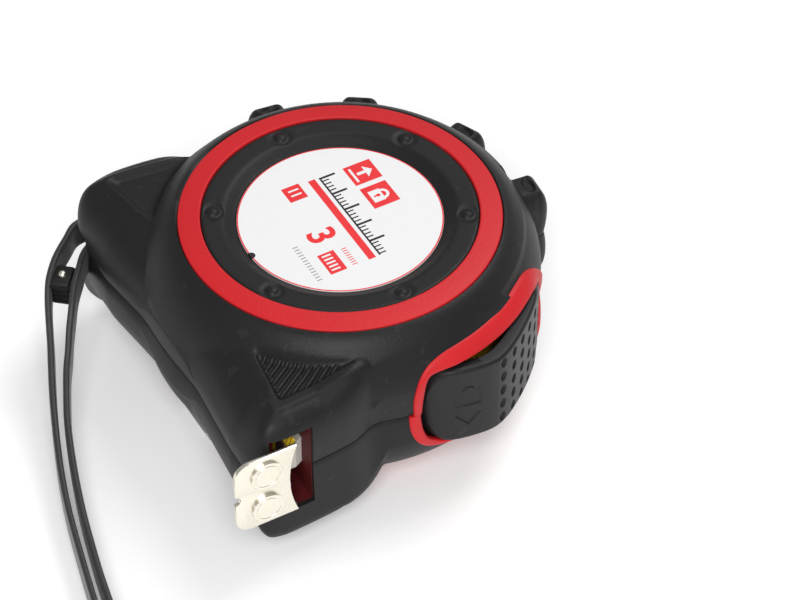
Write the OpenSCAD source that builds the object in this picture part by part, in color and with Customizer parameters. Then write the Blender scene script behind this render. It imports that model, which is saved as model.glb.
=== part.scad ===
// Pocket tape measure lying on its back, label upwards.
// The reel turns about the Z axis. +X runs along the base towards the mouth, +Y from the base upwards.
// Z = 0 is the plane that the belt clip rests on.

/* [Case] */
// Outer radius of the drum
drum_r = 35.3; // [34.8:0.1:35.6]
// Height of the parting plane between the two halves
seam_z = 20.75; // [20.5:0.05:21.5]
// Thickness of the rubber overmould
grip_t = 1.2; // [1:0.1:1.4]
// Wall thickness of the plastic shells
shell_t = 1.6; // [1.4:0.1:1.8]
// Inner radius of the coloured ring
ring_in_r = 24.4; // [24:0.1:25]
// Outer radius of the coloured ring
ring_out_r = 28.4; // [28:0.1:29]
// Radius of the label
label_r = 18.1; // [17:0.1:18.1]
// Number of studs round the label
stud_count = 6; // [3:1:12]

/* [Blade] */
// Width of the blade
blade_w = 16; // [12:1:16]
// Thickness of the blade with its coating
blade_t = 0.15; // [0.12:0.01:0.2]
// Length of the coiled blade
blade_length = 3000; // [2000:100:3000]
// Thickness that one turn takes up on the coil
wrap_t = 0.13; // [0.12:0.01:0.13]
// Inner radius of the coil
core_r = 26; // [24:0.1:26]
// Radius of the blade's cross curve
cup_r = 22; // [20:1:25]
// X where the straight length of blade begins
tail_x0 = -25; // [-25:1:-10]

/* [Hook] */
// X of the hook plate's inner face
hook_x = 36.5; // [36.5:0.1:36.8]
// Thickness of the hook plate
hook_t = 0.8; // [0.6:0.1:1]
// Y of the hook plate's free edge
hook_low_y = -40.5; // [-42:0.5:-39]
// Travel of the hook on its rivets
hook_play = 1; // [0.5:0.1:1]
// Diameter of each magnet disc
magnet_d = 6; // [4:0.5:6]

/* [Button] */
// Angle of the button's line of press
button_a = 24.5; // [24:0.5:25]
// Width of the button across its line of press
button_w = 30.4; // [29:0.1:30.4]
// Height of the button along Z
button_h = 17.2; // [15:0.1:17.2]
// Running gap between the button and its window
button_gap = 0.3; // [0.2:0.05:0.4]

/* [Belt clip] */
// Width of the belt clip
clip_w = 16; // [12:1:20]
// Thickness of the clip's spring steel
clip_t = 1; // [0.8:0.1:1]

/* [Strap] */
// Width of the strap
strap_w = 5.6; // [5:0.1:6]
// Thickness of the strap
strap_t = 1.3; // [1.1:0.1:1.4]

/* [Hidden] */
$fn = 48;

eps = 0.01;
shell_r = drum_r - grip_t;             // outside of the shell's drum
cavity_r = shell_r - shell_t;          // inside of the shell's drum
half_h = 17.25;                        // seam plane to the top of the ring
face_h = 15.45;                        // seam plane to the shell's flat face
lining_h = face_h - shell_t;           // seam plane to the inside of the face
land_h = 16.95;                        // seam plane to the rubber land round the label
rim_h = 16.7;                          // seam plane to the rim beside the ring
front_foot_h = 12.15;                  // seam plane to the foot's top
back_foot_h = 16.9;                    // seam plane to the foot's underside
foot_round = 4.2;                      // height that the foot's rounded edge takes up
foot_sole_h = 6;                       // height where the back foot's sole starts to lean in
back_sole_in = 7;                      // how far the sole has leaned in at the back foot's underside
mouth_half = 9;
mouth_y = [-33, -25];
bezel_half = 10.25;
bezel_from = -8;
bezel_to = 57;
pocket_r = 32.6;

coil_r = sqrt(core_r * core_r + blade_length * wrap_t / PI);
flange_r = coil_r + 0.3;
flange_t = 1;
flange_z = 8.2;                        // seam plane to each flange's inner face
post_r = 4;
bore_r = post_r + 0.05;

cup_y = -30.07 + cup_r + blade_t;      // axis of the blade's cross curve
tail_x1 = hook_x - 0.2;
rivet_x = 34.2;
rivet_z = 3.4;
rivet_r = 0.8;
magnet_y = -34.6;
magnet_z = 4;

pivot = [27, -16.5];
lever_half = 3;
pin_r = 1;

// The four screws that close the case, in plan
screw_at = [[33.2, -19.2], [-30, -23.5], [31.3 * cos(75), 31.3 * sin(75)], [31.3 * cos(150), 31.3 * sin(150)]];
knob_a = [84.5, 113.5, 146, 172.5];
boss_r = 2.6;                          // outside of the screw posts
screw_z = 14;                          // seat of the case screws' heads
screw_head_r = 1.8;
screw_head_h = 1.2;
screw_r = 0.9;
stud_at_r = 22.2;                      // circle of the studs
stud_r = 1.6;
knob_at_r = 35.1;                      // circle of the knobs on the grip
knob_r = 4.2;
knob_h = 9.6;
slot_half = 4;                         // half height of the strap slot

clip_root_y = 22;                      // line of the two clip screws
clip_screw_x = 4.5;
back_z = seam_z - half_h;              // lowest face of the case

strap_at = [-32.2, -31.8];             // axis of the strap post
strap_post_r = 1.9;
strap_post_half = 5.6;                 // half the post's length
strap_slot_r = 4.6;
strap_z = 19.8;
keeper_at = [-26.4, -42.2, 17.6];
keeper_size = [5, 3.4, 5.2];
strap_mid_r = strap_post_r + strap_t / 2 + 0.15;
// The strap's route from the post, along the outer arm, round its far end and back along the inner arm
strap_path = [[-35.4, -33.8, 19.7], [-35, -36, 19.5], [-33.2, -38.2, 19.2], [-30.8, -41.2, 18.7],
              [-28.6, -43.4, 18], [-26.6, -45, 17], [-24.1, -46.4, 15.3], [-21, -47.8, 13.2],
              [-17.8, -49.2, 11.2], [-14.4, -50.8, 9.4], [-10.4, -52.6, 7.7], [-6, -54.4, 6.2],
              [-1, -56.3, 5], [5, -58.4, 4.1], [12, -60.5, 3.5], [20, -62.5, 3.1], [28.4, -64.5, 3.1],
              [37, -66.4, 3.1], [46, -68.2, 3.1], [54, -69.4, 3.1], [60, -69.8, 3.1], [64.4, -69.2, 3.1],
              [66.6, -67.4, 3.1], [66.6, -65, 3.1], [64.4, -63.4, 3.1], [60, -62.9, 3.1],
              [54, -63.4, 3.1], [46, -63.9, 3.1], [37.4, -63.7, 3.1], [29.2, -62.3, 3.1],
              [20.6, -60.3, 3.1], [12.8, -58.3, 3.5], [5.8, -56.2, 4.1], [-0.2, -54.2, 5],
              [-5.2, -52.3, 6.2], [-9.2, -50.4, 7.7], [-12.7, -48.6, 9.4], [-15.3, -46.9, 11.2],
              [-17.9, -45.3, 13.2], [-20.3, -43.6, 15.3], [-22.4, -42.2, 16.6], [-24.2, -40.8, 17.6],
              [-26, -39.2, 18.3], [-27.8, -37.6, 19], [-29, -35.8, 19.5], [-29.3, -33.9, 19.7]];

function polar(r, a) = [r * cos(a), r * sin(a)];
function add3(a, b) = [a[0] + b[0], a[1] + b[1], a[2] + b[2]];
function unit(v) = v / norm(v);

// Outline of the case's foot, drawn in by a distance, and its sole by s more
function foot_outline(d, s = 0) = [
    [-36.2 + d, -32 + d + s], [-33 + d, -36.6 + d + s], [-20.7, -36.6 + d + s], [-9.6, -35.3 + d + s],
    [0, -34.4 + d + s], [12.9, -34.9 + d + s], [26.6, -36.1 + d + s], [34 - d, -36.1 + d + s],
    [36.4 - d, -33.7 + d + s],
    [36.4 - d, -19 - d], [35.4 - d, -14 - d], [31 - d, -9], [0, 0], [-30 + d, -11], [-35 + d, -14.5 - d],
    [-36.2 + d, -18 - d]];

// Half of the drum's outside, from the seam to the ring
function rim_profile(r, h, top_r) = [[r, 0], [r, h - 10], [r - 1.1, h - 6.3], [r - 3.6, h - 2.4], [top_r, h]];

module spin(points, from = 0, sweep = 360) {
    rotate([0, 0, from])
        rotate_extrude(angle = sweep, $fn = 96)
            polygon(points);
}

// A body of the foot: upright to edge_h, then drawn in to its top, with its sole leaning in on the way
module foot_body(d, edge_h, top_h, top_in, sole_in) {
    hull() {
        linear_extrude(foot_sole_h) polygon(foot_outline(d));
        linear_extrude(edge_h) polygon(foot_outline(d, sole_in / 3));
        linear_extrude(top_h) polygon(foot_outline(d + top_in, sole_in));
    }
}

module drum_body(r, h) {
    spin(concat([[0, 0]], rim_profile(r, h, ring_out_r), [[0, h]]));
}

module shell_outside(foot_h, sole_in) {
    spin(concat([[0, 0]], rim_profile(shell_r, face_h, ring_out_r - 0.3), [[0, face_h]]));
    foot_body(grip_t, foot_h - foot_round - 0.5, min(foot_h - grip_t, face_h), 3.2, sole_in);
}

module shell_inside(foot_h, sole_in) {
    spin([[0, -eps], [cavity_r, -eps], [cavity_r, 5.2], [31.4, 9], [29.4, 12.2], [27.6, lining_h], [0, lining_h]]);
    foot_body(grip_t + shell_t, foot_h - foot_round - 1, min(foot_h - grip_t - shell_t, lining_h), 3.2, sole_in);
    translate([0, 0, -eps]) linear_extrude(1) polygon(foot_outline(grip_t + shell_t));
}

module button_frame() {
    rotate([0, 0, button_a]) children();
}

// Cuts that both shells and both grips share, seen from the seam upwards
module mouth_cut() {
    translate([25, mouth_y[0], -mouth_half])
        cube([20, mouth_y[1] - mouth_y[0], 2 * mouth_half]);
}

module window_cut() {
    button_frame()
        translate([28, -button_w / 2 - button_gap, -button_h / 2 - button_gap])
            cube([15, button_w + 2 * button_gap, button_h + 2 * button_gap]);
}

module strap_cut() {
    translate([strap_at[0], strap_at[1], -slot_half]) {
        cylinder(r = strap_slot_r, h = 2 * slot_half);
        translate([-12, -12, 0]) cube([12 + strap_slot_r - 0.5, 12.5, 2 * slot_half]);
    }
}

// Posts and sockets inside a shell, from the seam plane up
module inner_posts() {
    for (p = screw_at)
        translate([p[0], p[1], 0.05]) cylinder(r = boss_r, h = lining_h);
    translate([pivot[0], pivot[1], lever_half + 0.3]) cylinder(r = 1.9, h = lining_h);
    translate([0, 0, 9.8]) cylinder(r = 7, h = 5);
    translate([strap_at[0], strap_at[1], 0]) cylinder(r = strap_slot_r + 1.3, h = 9.6);
}

// Half a shell, from the seam plane up
module shell_half(foot_h, sole_in = 0) {
    difference() {
        union() {
            difference() {
                shell_outside(foot_h, sole_in);
                shell_inside(foot_h, sole_in);
                spin([[28, -eps], [pocket_r, -eps], [pocket_r, 10], [28, 10]], bezel_from, bezel_to - bezel_from);
            }
            spin([[32.8, 0], [35.2, 0], [35.2, 7.5], [34.4, bezel_half], [32.8, bezel_half]],
                 bezel_from, bezel_to - bezel_from);
            spin([[ring_in_r, face_h - 1], [ring_out_r, face_h - 1], [ring_out_r, rim_h - 0.3],
                  [ring_out_r - 0.12, rim_h - 0.08], [ring_out_r - 0.4, rim_h + 0.04], [ring_in_r + 0.3, half_h],
                  [ring_in_r + 0.08, half_h - 0.08], [ring_in_r, half_h - 0.3]]);
            intersection() {
                inner_posts();
                shell_outside(foot_h, sole_in);
            }
        }
        mouth_cut();
        window_cut();
        strap_cut();
        translate([pivot[0], pivot[1], 0]) cylinder(r = pin_r, h = 6.2);
        cylinder(r = post_r, h = lining_h - 1);
        translate([strap_at[0], strap_at[1], 0]) cylinder(r = strap_post_r, h = strap_post_half + 0.1);
        for (p = screw_at)
            translate([p[0], p[1], -1]) cylinder(r = screw_r, h = 7.4);
    }
}

// Half of the rubber overmould, from the seam plane up
module grip_half(foot_h, sole_in = 0) {
    difference() {
        union() {
            drum_body(drum_r, rim_h);
            foot_body(0, foot_h - foot_round, foot_h, 3.6, sole_in);
            for (a = knob_a)
                rotate([0, 0, a]) translate([knob_at_r, 0, 0]) cylinder(r = knob_r, h = knob_h);
        }
        shell_outside(foot_h, sole_in);
        translate([0, 0, -eps]) cylinder(r = ring_out_r, h = 30);
        spin([[32, -eps], [42, -eps], [42, bezel_half], [32, bezel_half]], bezel_from, bezel_to - bezel_from);
        mouth_cut();
        strap_cut();
        translate([strap_at[0], strap_at[1], 0]) cylinder(r = strap_post_r + 0.05, h = strap_post_half + 0.1);
    }
}

module upper() {
    translate([0, 0, seam_z]) children();
}

module lower() {
    translate([0, 0, seam_z]) mirror([0, 0, 1]) children();
}

module front_shell() {
    color("firebrick") upper() shell_half(front_foot_h);
}

module back_shell() {
    color("firebrick")
        difference() {
            union() {
                lower() shell_half(back_foot_h, back_sole_in);
                for (s = [-1, 1])
                    translate([s * clip_screw_x, clip_root_y, 6]) cylinder(r = 2.4, h = 4.9);
            }
            for (p = screw_at) {
                translate([p[0], p[1], -1]) cylinder(r = screw_r + 0.2, h = seam_z + 1);
                translate([p[0], p[1], -1]) cylinder(r = screw_head_r + 0.1, h = screw_z + screw_head_h + 1);
            }
            translate([0, 0, -1]) cylinder(r = 1.3, h = 12);
            translate([0, 0, -1]) cylinder(r = 2.6, h = 7.3);
            for (s = [-1, 1])
                translate([s * clip_screw_x, clip_root_y, -1]) cylinder(r = 1, h = 12);
        }
}

module front_grip() {
    color("dimgray") upper() grip_half(front_foot_h);
}

// The back is covered all over, apart from the ring
module back_grip() {
    color("dimgray")
        difference() {
            union() {
                lower() grip_half(back_foot_h, back_sole_in);
                lower() spin([[0, face_h], [ring_in_r, face_h], [ring_in_r, half_h], [0, half_h]]);
            }
            for (p = screw_at)
                translate([p[0], p[1], -1]) cylinder(r = screw_head_r + 0.3, h = screw_z + 3);
            translate([0, 0, -1]) cylinder(r = 2.8, h = 8);
            for (s = [-1, 1])
                translate([s * clip_screw_x, clip_root_y, -1]) cylinder(r = 1, h = 8);
        }
}

module label_surround() {
    color("dimgray") upper() {
        spin([[18.25, face_h], [18.25, face_h + 0.3], [20.5, land_h], [ring_in_r, land_h + 0.15],
              [ring_in_r, face_h]]);
        difference() {
            for (k = [0 : stud_count - 1])
                rotate([0, 0, k * 360 / stud_count]) translate([stud_at_r, 0, land_h - 1.1]) sphere(r = stud_r);
            translate([0, 0, face_h - 3]) cylinder(r = ring_in_r, h = 3);
        }
    }
}

module front_label() {
    color("white") upper()
        translate([0, 0, face_h]) cylinder(r = label_r, h = 0.3);
}

module spool() {
    color("gainsboro") upper()
        spin([[bore_r, -flange_z - flange_t], [flange_r, -flange_z - flange_t], [flange_r, -flange_z],
              [core_r, -flange_z], [core_r, flange_z], [core_r - 1.6, flange_z], [core_r - 1.6, -flange_z],
              [bore_r, -flange_z]]);
}

module spool_lid() {
    color("gainsboro") upper()
        translate([0, 0, flange_z])
            difference() {
                cylinder(r = flange_r, h = flange_t);
                translate([0, 0, -1]) cylinder(r = bore_r, h = flange_t + 2);
            }
}

module spool_washers() {
    color("whitesmoke") upper()
        for (s = [-1, 1])
            translate([0, 0, s * 9.5])
                difference() {
                    cylinder(r = 6.6, h = 0.3, center = true);
                    cylinder(r = bore_r, h = 1, center = true);
                }
}

module centre_post() {
    color("silver") upper()
        difference() {
            cylinder(r = post_r, h = 2 * (lining_h - 1), center = true);
            translate([0, 0, -20]) cylinder(r = 1.2, h = 17);
        }
}

module screw(length, r, head_r, head_h) {
    difference() {
        union() {
            cylinder(r = r, h = length);
            cylinder(r = head_r, h = head_h);
        }
        for (a = [0, 90])
            rotate([0, 0, a]) translate([-head_r * 0.7, -0.25, -1]) cube([head_r * 1.4, 0.5, 1.5]);
    }
}

module centre_screw() {
    color("silver") translate([0, 0, 4.9]) screw(12, 1.2, 2.4, 1.4);
}

module power_spring() {
    turns = 9;
    steps = 20;
    r0 = 4.4;
    pitch = (core_r - 2.2 - r0) / turns;
    side = [for (k = [0 : turns * steps]) [r0 + pitch * k / steps, 360 * k / steps]];
    color("slategray") upper()
        translate([0, 0, -7.5])
            linear_extrude(15)
                polygon(concat([for (s = side) polar(s[0], s[1])],
                               [for (k = [len(side) - 1 : -1 : 0]) polar(side[k][0] + 0.25, side[k][1])]));
}

module blade_coil() {
    color("gold") upper()
        difference() {
            cylinder(r = coil_r, h = blade_w, center = true, $fn = 96);
            cylinder(r = core_r, h = blade_w + 1, center = true, $fn = 96);
        }
}

// A length of arched strip along X, its outside at radius r
module arched_strip(x0, x1, r, t, w) {
    translate([x0, cup_y, 0])
        intersection() {
            difference() {
                rotate([0, 90, 0]) cylinder(r = r, h = x1 - x0, $fn = 96);
                translate([-1, 0, 0]) rotate([0, 90, 0]) cylinder(r = r - t, h = x1 - x0 + 2, $fn = 96);
            }
            translate([-1, -r - 1, -w / 2]) cube([x1 - x0 + 2, r, w]);
        }
}

module blade_tail() {
    color("gold") upper()
        difference() {
            arched_strip(tail_x0, tail_x1, cup_r + blade_t, blade_t, blade_w);
            rivet_holes(rivet_r + 0.02);
        }
}

module rivet_holes(r) {
    for (s = [-1, 1])
        translate([rivet_x, -35, s * rivet_z]) rotate([-90, 0, 0]) cylinder(r = r, h = 8);
}

module hook() {
    tab_r = cup_r + blade_t + 0.05;
    color("ivory") upper()
        difference() {
            union() {
                translate([hook_x, hook_low_y, -8]) {
                    translate([0, 3, 0]) cube([hook_t, 10, 16]);
                    translate([0, 0, 3]) cube([hook_t, 4, 10]);
                    for (z = [3, 13])
                        translate([0, 3, z]) rotate([0, 90, 0]) cylinder(r = 3, h = hook_t);
                }
                arched_strip(32.4, hook_x + hook_t, tab_r + 0.6, 0.6, 12);
            }
            translate([hook_x - 6, cup_y, 0]) rotate([0, 90, 0]) cylinder(r = tab_r, h = 10, $fn = 96);
            translate([hook_x - 1, hook_low_y, 0]) rotate([0, 90, 0]) cylinder(r = 1, h = 3);
            for (s = [-1, 1])
                translate([rivet_x - hook_play - rivet_r - 0.05, -35, s * rivet_z - rivet_r - 0.05])
                    cube([hook_play + 2 * rivet_r + 0.1, 8, 2 * rivet_r + 0.1]);
        }
}

module hook_rivets() {
    color("silver") upper()
        for (s = [-1, 1])
            translate([rivet_x, 0, s * rivet_z]) rotate([-90, 0, 0]) {
                translate([0, 0, -30.8]) cylinder(r = rivet_r, h = 1.5);
                translate([0, 0, -30.98]) cylinder(r = 1.3, h = 0.34);
                translate([0, 0, -29.42]) cylinder(r = 1.2, h = 0.3);
            }
}

module hook_magnets() {
    color("ivory") upper()
        for (s = [-1, 1])
            translate([hook_x + hook_t, magnet_y, s * magnet_z])
                rotate([0, 90, 0]) cylinder(r = magnet_d / 2, h = 0.5);
}

// Outside of the button in plan, as angles and radii
button_line = [[-3, 34.4], [1, 35.6], [6, 36.9], [12, 38.1], [17, 38.5], [23, 38.1], [31, 37.2], [40, 36.4],
               [47, 35.7], [51, 35.2]];

module lock_button() {
    half_w = button_w / 2;
    half_z = button_h / 2;
    color("black") upper()
        difference() {
            union() {
                intersection() {
                    translate([0, 0, -half_z])
                        linear_extrude(2 * half_z)
                            polygon(concat([for (p = button_line) polar(p[1], p[0])],
                                           [for (a = [52 : -5 : -8]) polar(31.6, a)]));
                    button_frame() translate([28, -half_w, -half_z]) cube([14, 2 * half_w, 2 * half_z]);
                }
                intersection() {
                    spin([[31.2, -9.6], [32.35, -9.6], [32.35, 9.6], [31.2, 9.6]], -8, 65);
                    button_frame() translate([25, -16.4, -9.6]) cube([14, 32.8, 19.2]);
                }
            }
            button_frame() translate([25, -13, -7]) cube([7, 26, 14]);
            button_frame() translate([25, -10, -7]) cube([8.5, 20, 14]);
            translate([26, -14, -3.4]) cube([7.2, 17.6, 6.8]);
        }
    color("black") upper()
        translate([32.42, 0.4, -2.5]) cube([3.4, 2, 5]);
}

module brake_lever() {
    color("darkorange") upper()
        difference() {
            union() {
                translate([pivot[0], pivot[1], -lever_half]) cylinder(r = 2, h = 2 * lever_half);
                translate([0, 0, -lever_half])
                    spin([[30.6, 0], [32.2, 0], [32.2, 2 * lever_half], [30.6, 2 * lever_half]], -22, 25.5);
                translate([0, 0, -lever_half]) linear_extrude(2 * lever_half)
                    polygon([[26.2, -15.6], [28.9, -10.9], [29.9, -11.3], [28.2, -16]]);
                translate([0, 0, -lever_half]) linear_extrude(2 * lever_half)
                    polygon([[26.2, -17.2], [27.9, -17.3], [32.6, -26.6], [32.6, -28.2], [30.4, -28.2],
                             [30.4, -26.8]]);
            }
            translate([pivot[0], pivot[1], -lever_half - 1]) cylinder(r = pin_r + 0.05, h = 2 * lever_half + 2);
        }
}

module brake_pad() {
    color("black") upper()
        translate([30.4, -29.6, -1.6]) cube([2.2, 1.4, 3.2]);
}

module lever_pin() {
    color("silver") upper()
        translate([pivot[0], pivot[1], 0]) cylinder(r = pin_r, h = 12.2, center = true);
}

module lever_spring() {
    wire = 0.5;
    color("silver") upper()
        translate([pivot[0], pivot[1], lever_half]) {
            difference() {
                cylinder(r = 2.7, h = 2);
                translate([0, 0, -1]) cylinder(r = 2.15, h = 4);
            }
            rotate([0, 0, 25]) translate([2.2, -wire / 2, 1]) cube([1.9, wire, wire]);
            rotate([0, 0, -70]) translate([2.2, -wire / 2, 0]) cube([6, wire, wire]);
        }
}

module mouth_guide() {
    color("darkred") upper()
        translate([26, -33, -8.8]) cube([7, 1.8, 17.6]);
}

module case_screws() {
    color("silver")
        for (p = screw_at)
            translate([p[0], p[1], screw_z]) screw(11.5, screw_r, screw_head_r, screw_head_h);
}

module belt_clip() {
    half_w = clip_w / 2;
    color("silver")
        difference() {
            union() {
                translate([-half_w, clip_root_y - 4, back_z - clip_t]) cube([clip_w, 8, clip_t]);
                translate([-half_w, clip_root_y + 2.6, 0]) cube([clip_w, 1.4, back_z]);
                translate([-half_w, -24, 0]) cube([clip_w, clip_root_y + 28, clip_t]);
                translate([half_w, -24, 0])
                    rotate([0, -90, 0])
                        linear_extrude(clip_w)
                            polygon([[0, 0], [clip_t, 0], [clip_t + 0.9, -3], [clip_t, -6], [0, -6], [0.9, -3]]);
            }
            for (s = [-1, 1])
                translate([s * clip_screw_x, clip_root_y, -1]) cylinder(r = 1.1, h = 6);
            for (s = [-1, 1])
                translate([s * clip_screw_x, clip_root_y, -1]) cylinder(r = 2, h = 1 + clip_t + 0.1);
        }
}

module clip_screws() {
    color("silver")
        for (s = [-1, 1])
            translate([s * clip_screw_x, clip_root_y, back_z - clip_t - 1]) screw(9, 1, 1.8, 1);
}

module strap_post() {
    color("silver") upper()
        translate([strap_at[0], strap_at[1], 0]) cylinder(r = strap_post_r, h = 2 * strap_post_half, center = true);
}

// Corners of the strap's cross-section, in half thicknesses and half widths
strap_corners = [[-1, -0.9], [-0.6, -1], [0.6, -1], [1, -0.9], [1, 0.9], [0.6, 1], [-0.6, 1], [-1, 0.9]];

// The strap's cross-section at one point of its route, standing on edge
function strap_ring(path, k) =
    let (a = path[max(k - 1, 0)], b = path[min(k + 1, len(path) - 1)],
         along = unit([b[0] - a[0], b[1] - a[1], 0]), side = [-along[1], along[0], 0])
    [for (c = strap_corners)
        add3(path[k], [side[0] * c[0] * strap_t / 2, side[1] * c[0] * strap_t / 2, c[1] * strap_w / 2])];

function strap_arc(from, to, steps) =
    [for (k = [0 : steps]) let (p = polar(strap_mid_r, from + (to - from) * k / steps))
        [strap_at[0] + p[0], strap_at[1] + p[1], strap_z]];

module wrist_strap() {
    route = concat(strap_arc(48, 190, 6), strap_path, strap_arc(-10, 40, 3));
    count = len(route);
    rings = [for (k = [0 : count - 1]) each strap_ring(route, k)];
    sides = [for (k = [0 : count - 2], j = [0 : 7])
        [k * 8 + j, k * 8 + (j + 1) % 8, (k + 1) * 8 + (j + 1) % 8, (k + 1) * 8 + j]];
    color("black")
        polyhedron(points = rings,
                   faces = concat([[for (j = [7 : -1 : 0]) j]], sides, [[for (j = [0 : 7]) (count - 1) * 8 + j]]));
}

module strap_keeper() {
    color("black")
        translate([keeper_at[0], keeper_at[1], keeper_at[2]]) rotate([0, 0, -40]) cube(keeper_size, center = true);
}

module keeper_stud() {
    color("silver")
        translate([keeper_at[0], keeper_at[1], keeper_at[2] + keeper_size[2] / 2]) sphere(r = 0.8);
}

front_shell();
back_shell();
front_grip();
back_grip();
label_surround();
front_label();
spool();
spool_lid();
spool_washers();
centre_post();
centre_screw();
power_spring();
blade_coil();
blade_tail();
hook();
hook_rivets();
hook_magnets();
lock_button();
brake_lever();
brake_pad();
lever_pin();
lever_spring();
mouth_guide();
case_screws();
belt_clip();
clip_screws();
strap_post();
wrist_strap();
strap_keeper();
keeper_stud();
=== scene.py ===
import math
import bpy
import bmesh
import numpy as np
from mathutils import Matrix, Vector


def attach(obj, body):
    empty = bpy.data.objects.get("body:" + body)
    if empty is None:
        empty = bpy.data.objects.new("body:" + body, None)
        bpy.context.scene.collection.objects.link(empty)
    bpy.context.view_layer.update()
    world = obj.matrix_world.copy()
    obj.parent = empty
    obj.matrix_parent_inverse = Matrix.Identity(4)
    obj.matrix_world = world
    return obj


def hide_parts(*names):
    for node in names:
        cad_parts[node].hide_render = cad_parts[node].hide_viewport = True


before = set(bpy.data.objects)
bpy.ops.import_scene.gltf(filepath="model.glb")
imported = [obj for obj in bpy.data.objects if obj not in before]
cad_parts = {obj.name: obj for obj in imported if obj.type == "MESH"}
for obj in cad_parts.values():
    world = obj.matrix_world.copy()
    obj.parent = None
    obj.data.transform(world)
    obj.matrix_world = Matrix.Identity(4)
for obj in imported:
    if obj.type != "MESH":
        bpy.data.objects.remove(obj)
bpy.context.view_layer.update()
mm = 0.001
seamZ = 20.75  # parting plane between the two halves of the case

# ---- camera, looking down on the label from the nose side
lens = {"azimuth": 60.67, "elevation": 45.3, "distance": 600.0, "focal": 155.07,
        "right": 10.42, "up": 15.39, "target": (0.0, 0.0, 38.0)}
azimuth = math.radians(lens["azimuth"])
elevation = math.radians(lens["elevation"])
cameraBack = Vector((math.sin(azimuth) * math.cos(elevation), -math.cos(azimuth) * math.cos(elevation),
                     math.sin(elevation)))
cameraRight = Vector((math.cos(azimuth), math.sin(azimuth), 0))
cameraUp = cameraBack.cross(cameraRight)
cameraData = bpy.data.cameras.new("camera")
cameraData.sensor_width = 36
cameraData.lens = lens["focal"]
cameraData.clip_start = 0.01
cameraData.clip_end = 20
camera = bpy.data.objects.new("camera", cameraData)
bpy.context.scene.collection.objects.link(camera)
place = Vector(lens["target"]) + cameraBack * lens["distance"] + cameraRight * lens["right"] - cameraUp * lens["up"]
camera.location = place * mm
camera.rotation_mode = "QUATERNION"
camera.rotation_quaternion = Matrix((cameraRight, cameraUp, cameraBack)).transposed().to_quaternion()
bpy.context.scene.camera = camera
print("camera placed")


# ---- shader trees: arithmetic on a wire adds its Math nodes
class Wire:
    def __init__(self, graph, socket):
        self.graph = graph
        self.socket = socket

    def maths(self, operation, *values):
        return self.graph.add("ShaderNodeMath", {"operation": operation}, dict(enumerate(values)))

    def __add__(self, other):
        return self.maths("ADD", self, other)

    def __sub__(self, other):
        return self.maths("SUBTRACT", self, other)

    def __rsub__(self, other):
        return self.maths("SUBTRACT", other, self)

    def __mul__(self, other):
        return self.maths("MULTIPLY", self, other)

    def __truediv__(self, other):
        return self.maths("DIVIDE", self, other)

    def __gt__(self, other):
        return self.maths("GREATER_THAN", self, other)

    def __lt__(self, other):
        return self.maths("LESS_THAN", self, other)

    def __pow__(self, other):
        return self.maths("POWER", self, other)

    def __abs__(self):
        return self.maths("ABSOLUTE", self)

    __radd__ = __add__
    __rmul__ = __mul__


class Graph:
    def __init__(self, name):
        self.material = bpy.data.materials.new(name)
        self.material.use_nodes = True
        self.tree = self.material.node_tree
        self.tree.nodes.clear()

    def add(self, kind, settings, values, output=0):
        node = self.tree.nodes.new(kind)
        for key, setting in settings.items():
            if key == "stops":
                ramp = node.color_ramp
                while len(ramp.elements) < len(setting):
                    ramp.elements.new(0.5)
                for element, (position, colour) in zip(ramp.elements, setting):
                    element.position = position
                    element.color = (*colour, 1)
            else:
                setattr(node, key, setting)
        for key, value in values.items():
            if isinstance(value, Wire):
                self.tree.links.new(value.socket, node.inputs[key])
            elif isinstance(value, tuple) and len(value) == 3 and node.inputs[key].type == "RGBA":
                node.inputs[key].default_value = (*value, 1)
            else:
                node.inputs[key].default_value = value
        return Wire(self, node.outputs[output] if node.outputs else None)

    def mix(self, factor, first, second):
        return self.add("ShaderNodeMix", {"data_type": "RGBA"}, {0: factor, 6: first, 7: second}, 2)

    def noise(self, scale, detail=2.0, vector=None):
        return self.add("ShaderNodeTexNoise", {}, {"Vector": vector or self.place(), "Scale": scale,
                                                   "Detail": detail})

    def place(self):
        return self.add("ShaderNodeTexCoord", {}, {}, 3)

    def axes(self, scale=1000.0):
        split = self.add("ShaderNodeSeparateXYZ", {}, {0: self.place()})
        node = split.socket.node
        return [Wire(self, node.outputs[k]) * scale for k in range(3)]

    def bump(self, height, strength, distance):
        return self.add("ShaderNodeBump", {}, {"Strength": strength, "Distance": distance, "Height": height})

    def finish(self, values):
        shader = self.add("ShaderNodeBsdfPrincipled", {}, values)
        self.add("ShaderNodeOutputMaterial", {}, {0: shader})
        return self.material


def grainedFinish(name, look):
    # moulded plastic or rubber: fine grain, slow drift of tone, uneven gloss
    g = Graph(name)
    grain = g.noise(look["grainScale"], 3.0)
    drift = g.noise(look["driftScale"], 2.0)
    scuff = g.noise(look["driftScale"] * 9, 4.0)
    tone = g.mix(drift, look["dark"], look["light"])
    tone = g.mix((scuff > look["scuffFrom"]) * look["scuffAmount"], tone, look["scuffTone"])
    rough = drift * look["roughDrift"] + grain * 0.08 + look["rough"]
    return g.finish({"Base Color": tone, "Roughness": rough, "Normal": g.bump(grain, look["bump"], 0.0002),
                     "Specular IOR Level": look["specular"], "Sheen Weight": look["sheen"], "Sheen Roughness": 0.45,
                     "Coat Weight": 0.0})


def metalFinish(name, look):
    # plated or ground steel, brushed along one axis
    g = Graph(name)
    stretched = g.add("ShaderNodeMapping", {}, {"Vector": g.place(), "Scale": look["brush"]})
    lines = g.noise(900.0, 3.0, stretched)
    cloud = g.noise(110.0, 3.0)
    tone = g.mix(cloud, look["dark"], look["light"])
    rough = lines * 0.14 + cloud * 0.1 + look["rough"]
    return g.finish({"Base Color": tone, "Metallic": 1.0, "Roughness": rough,
                     "Normal": g.bump(lines, look["bump"], 0.0001)})


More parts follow.
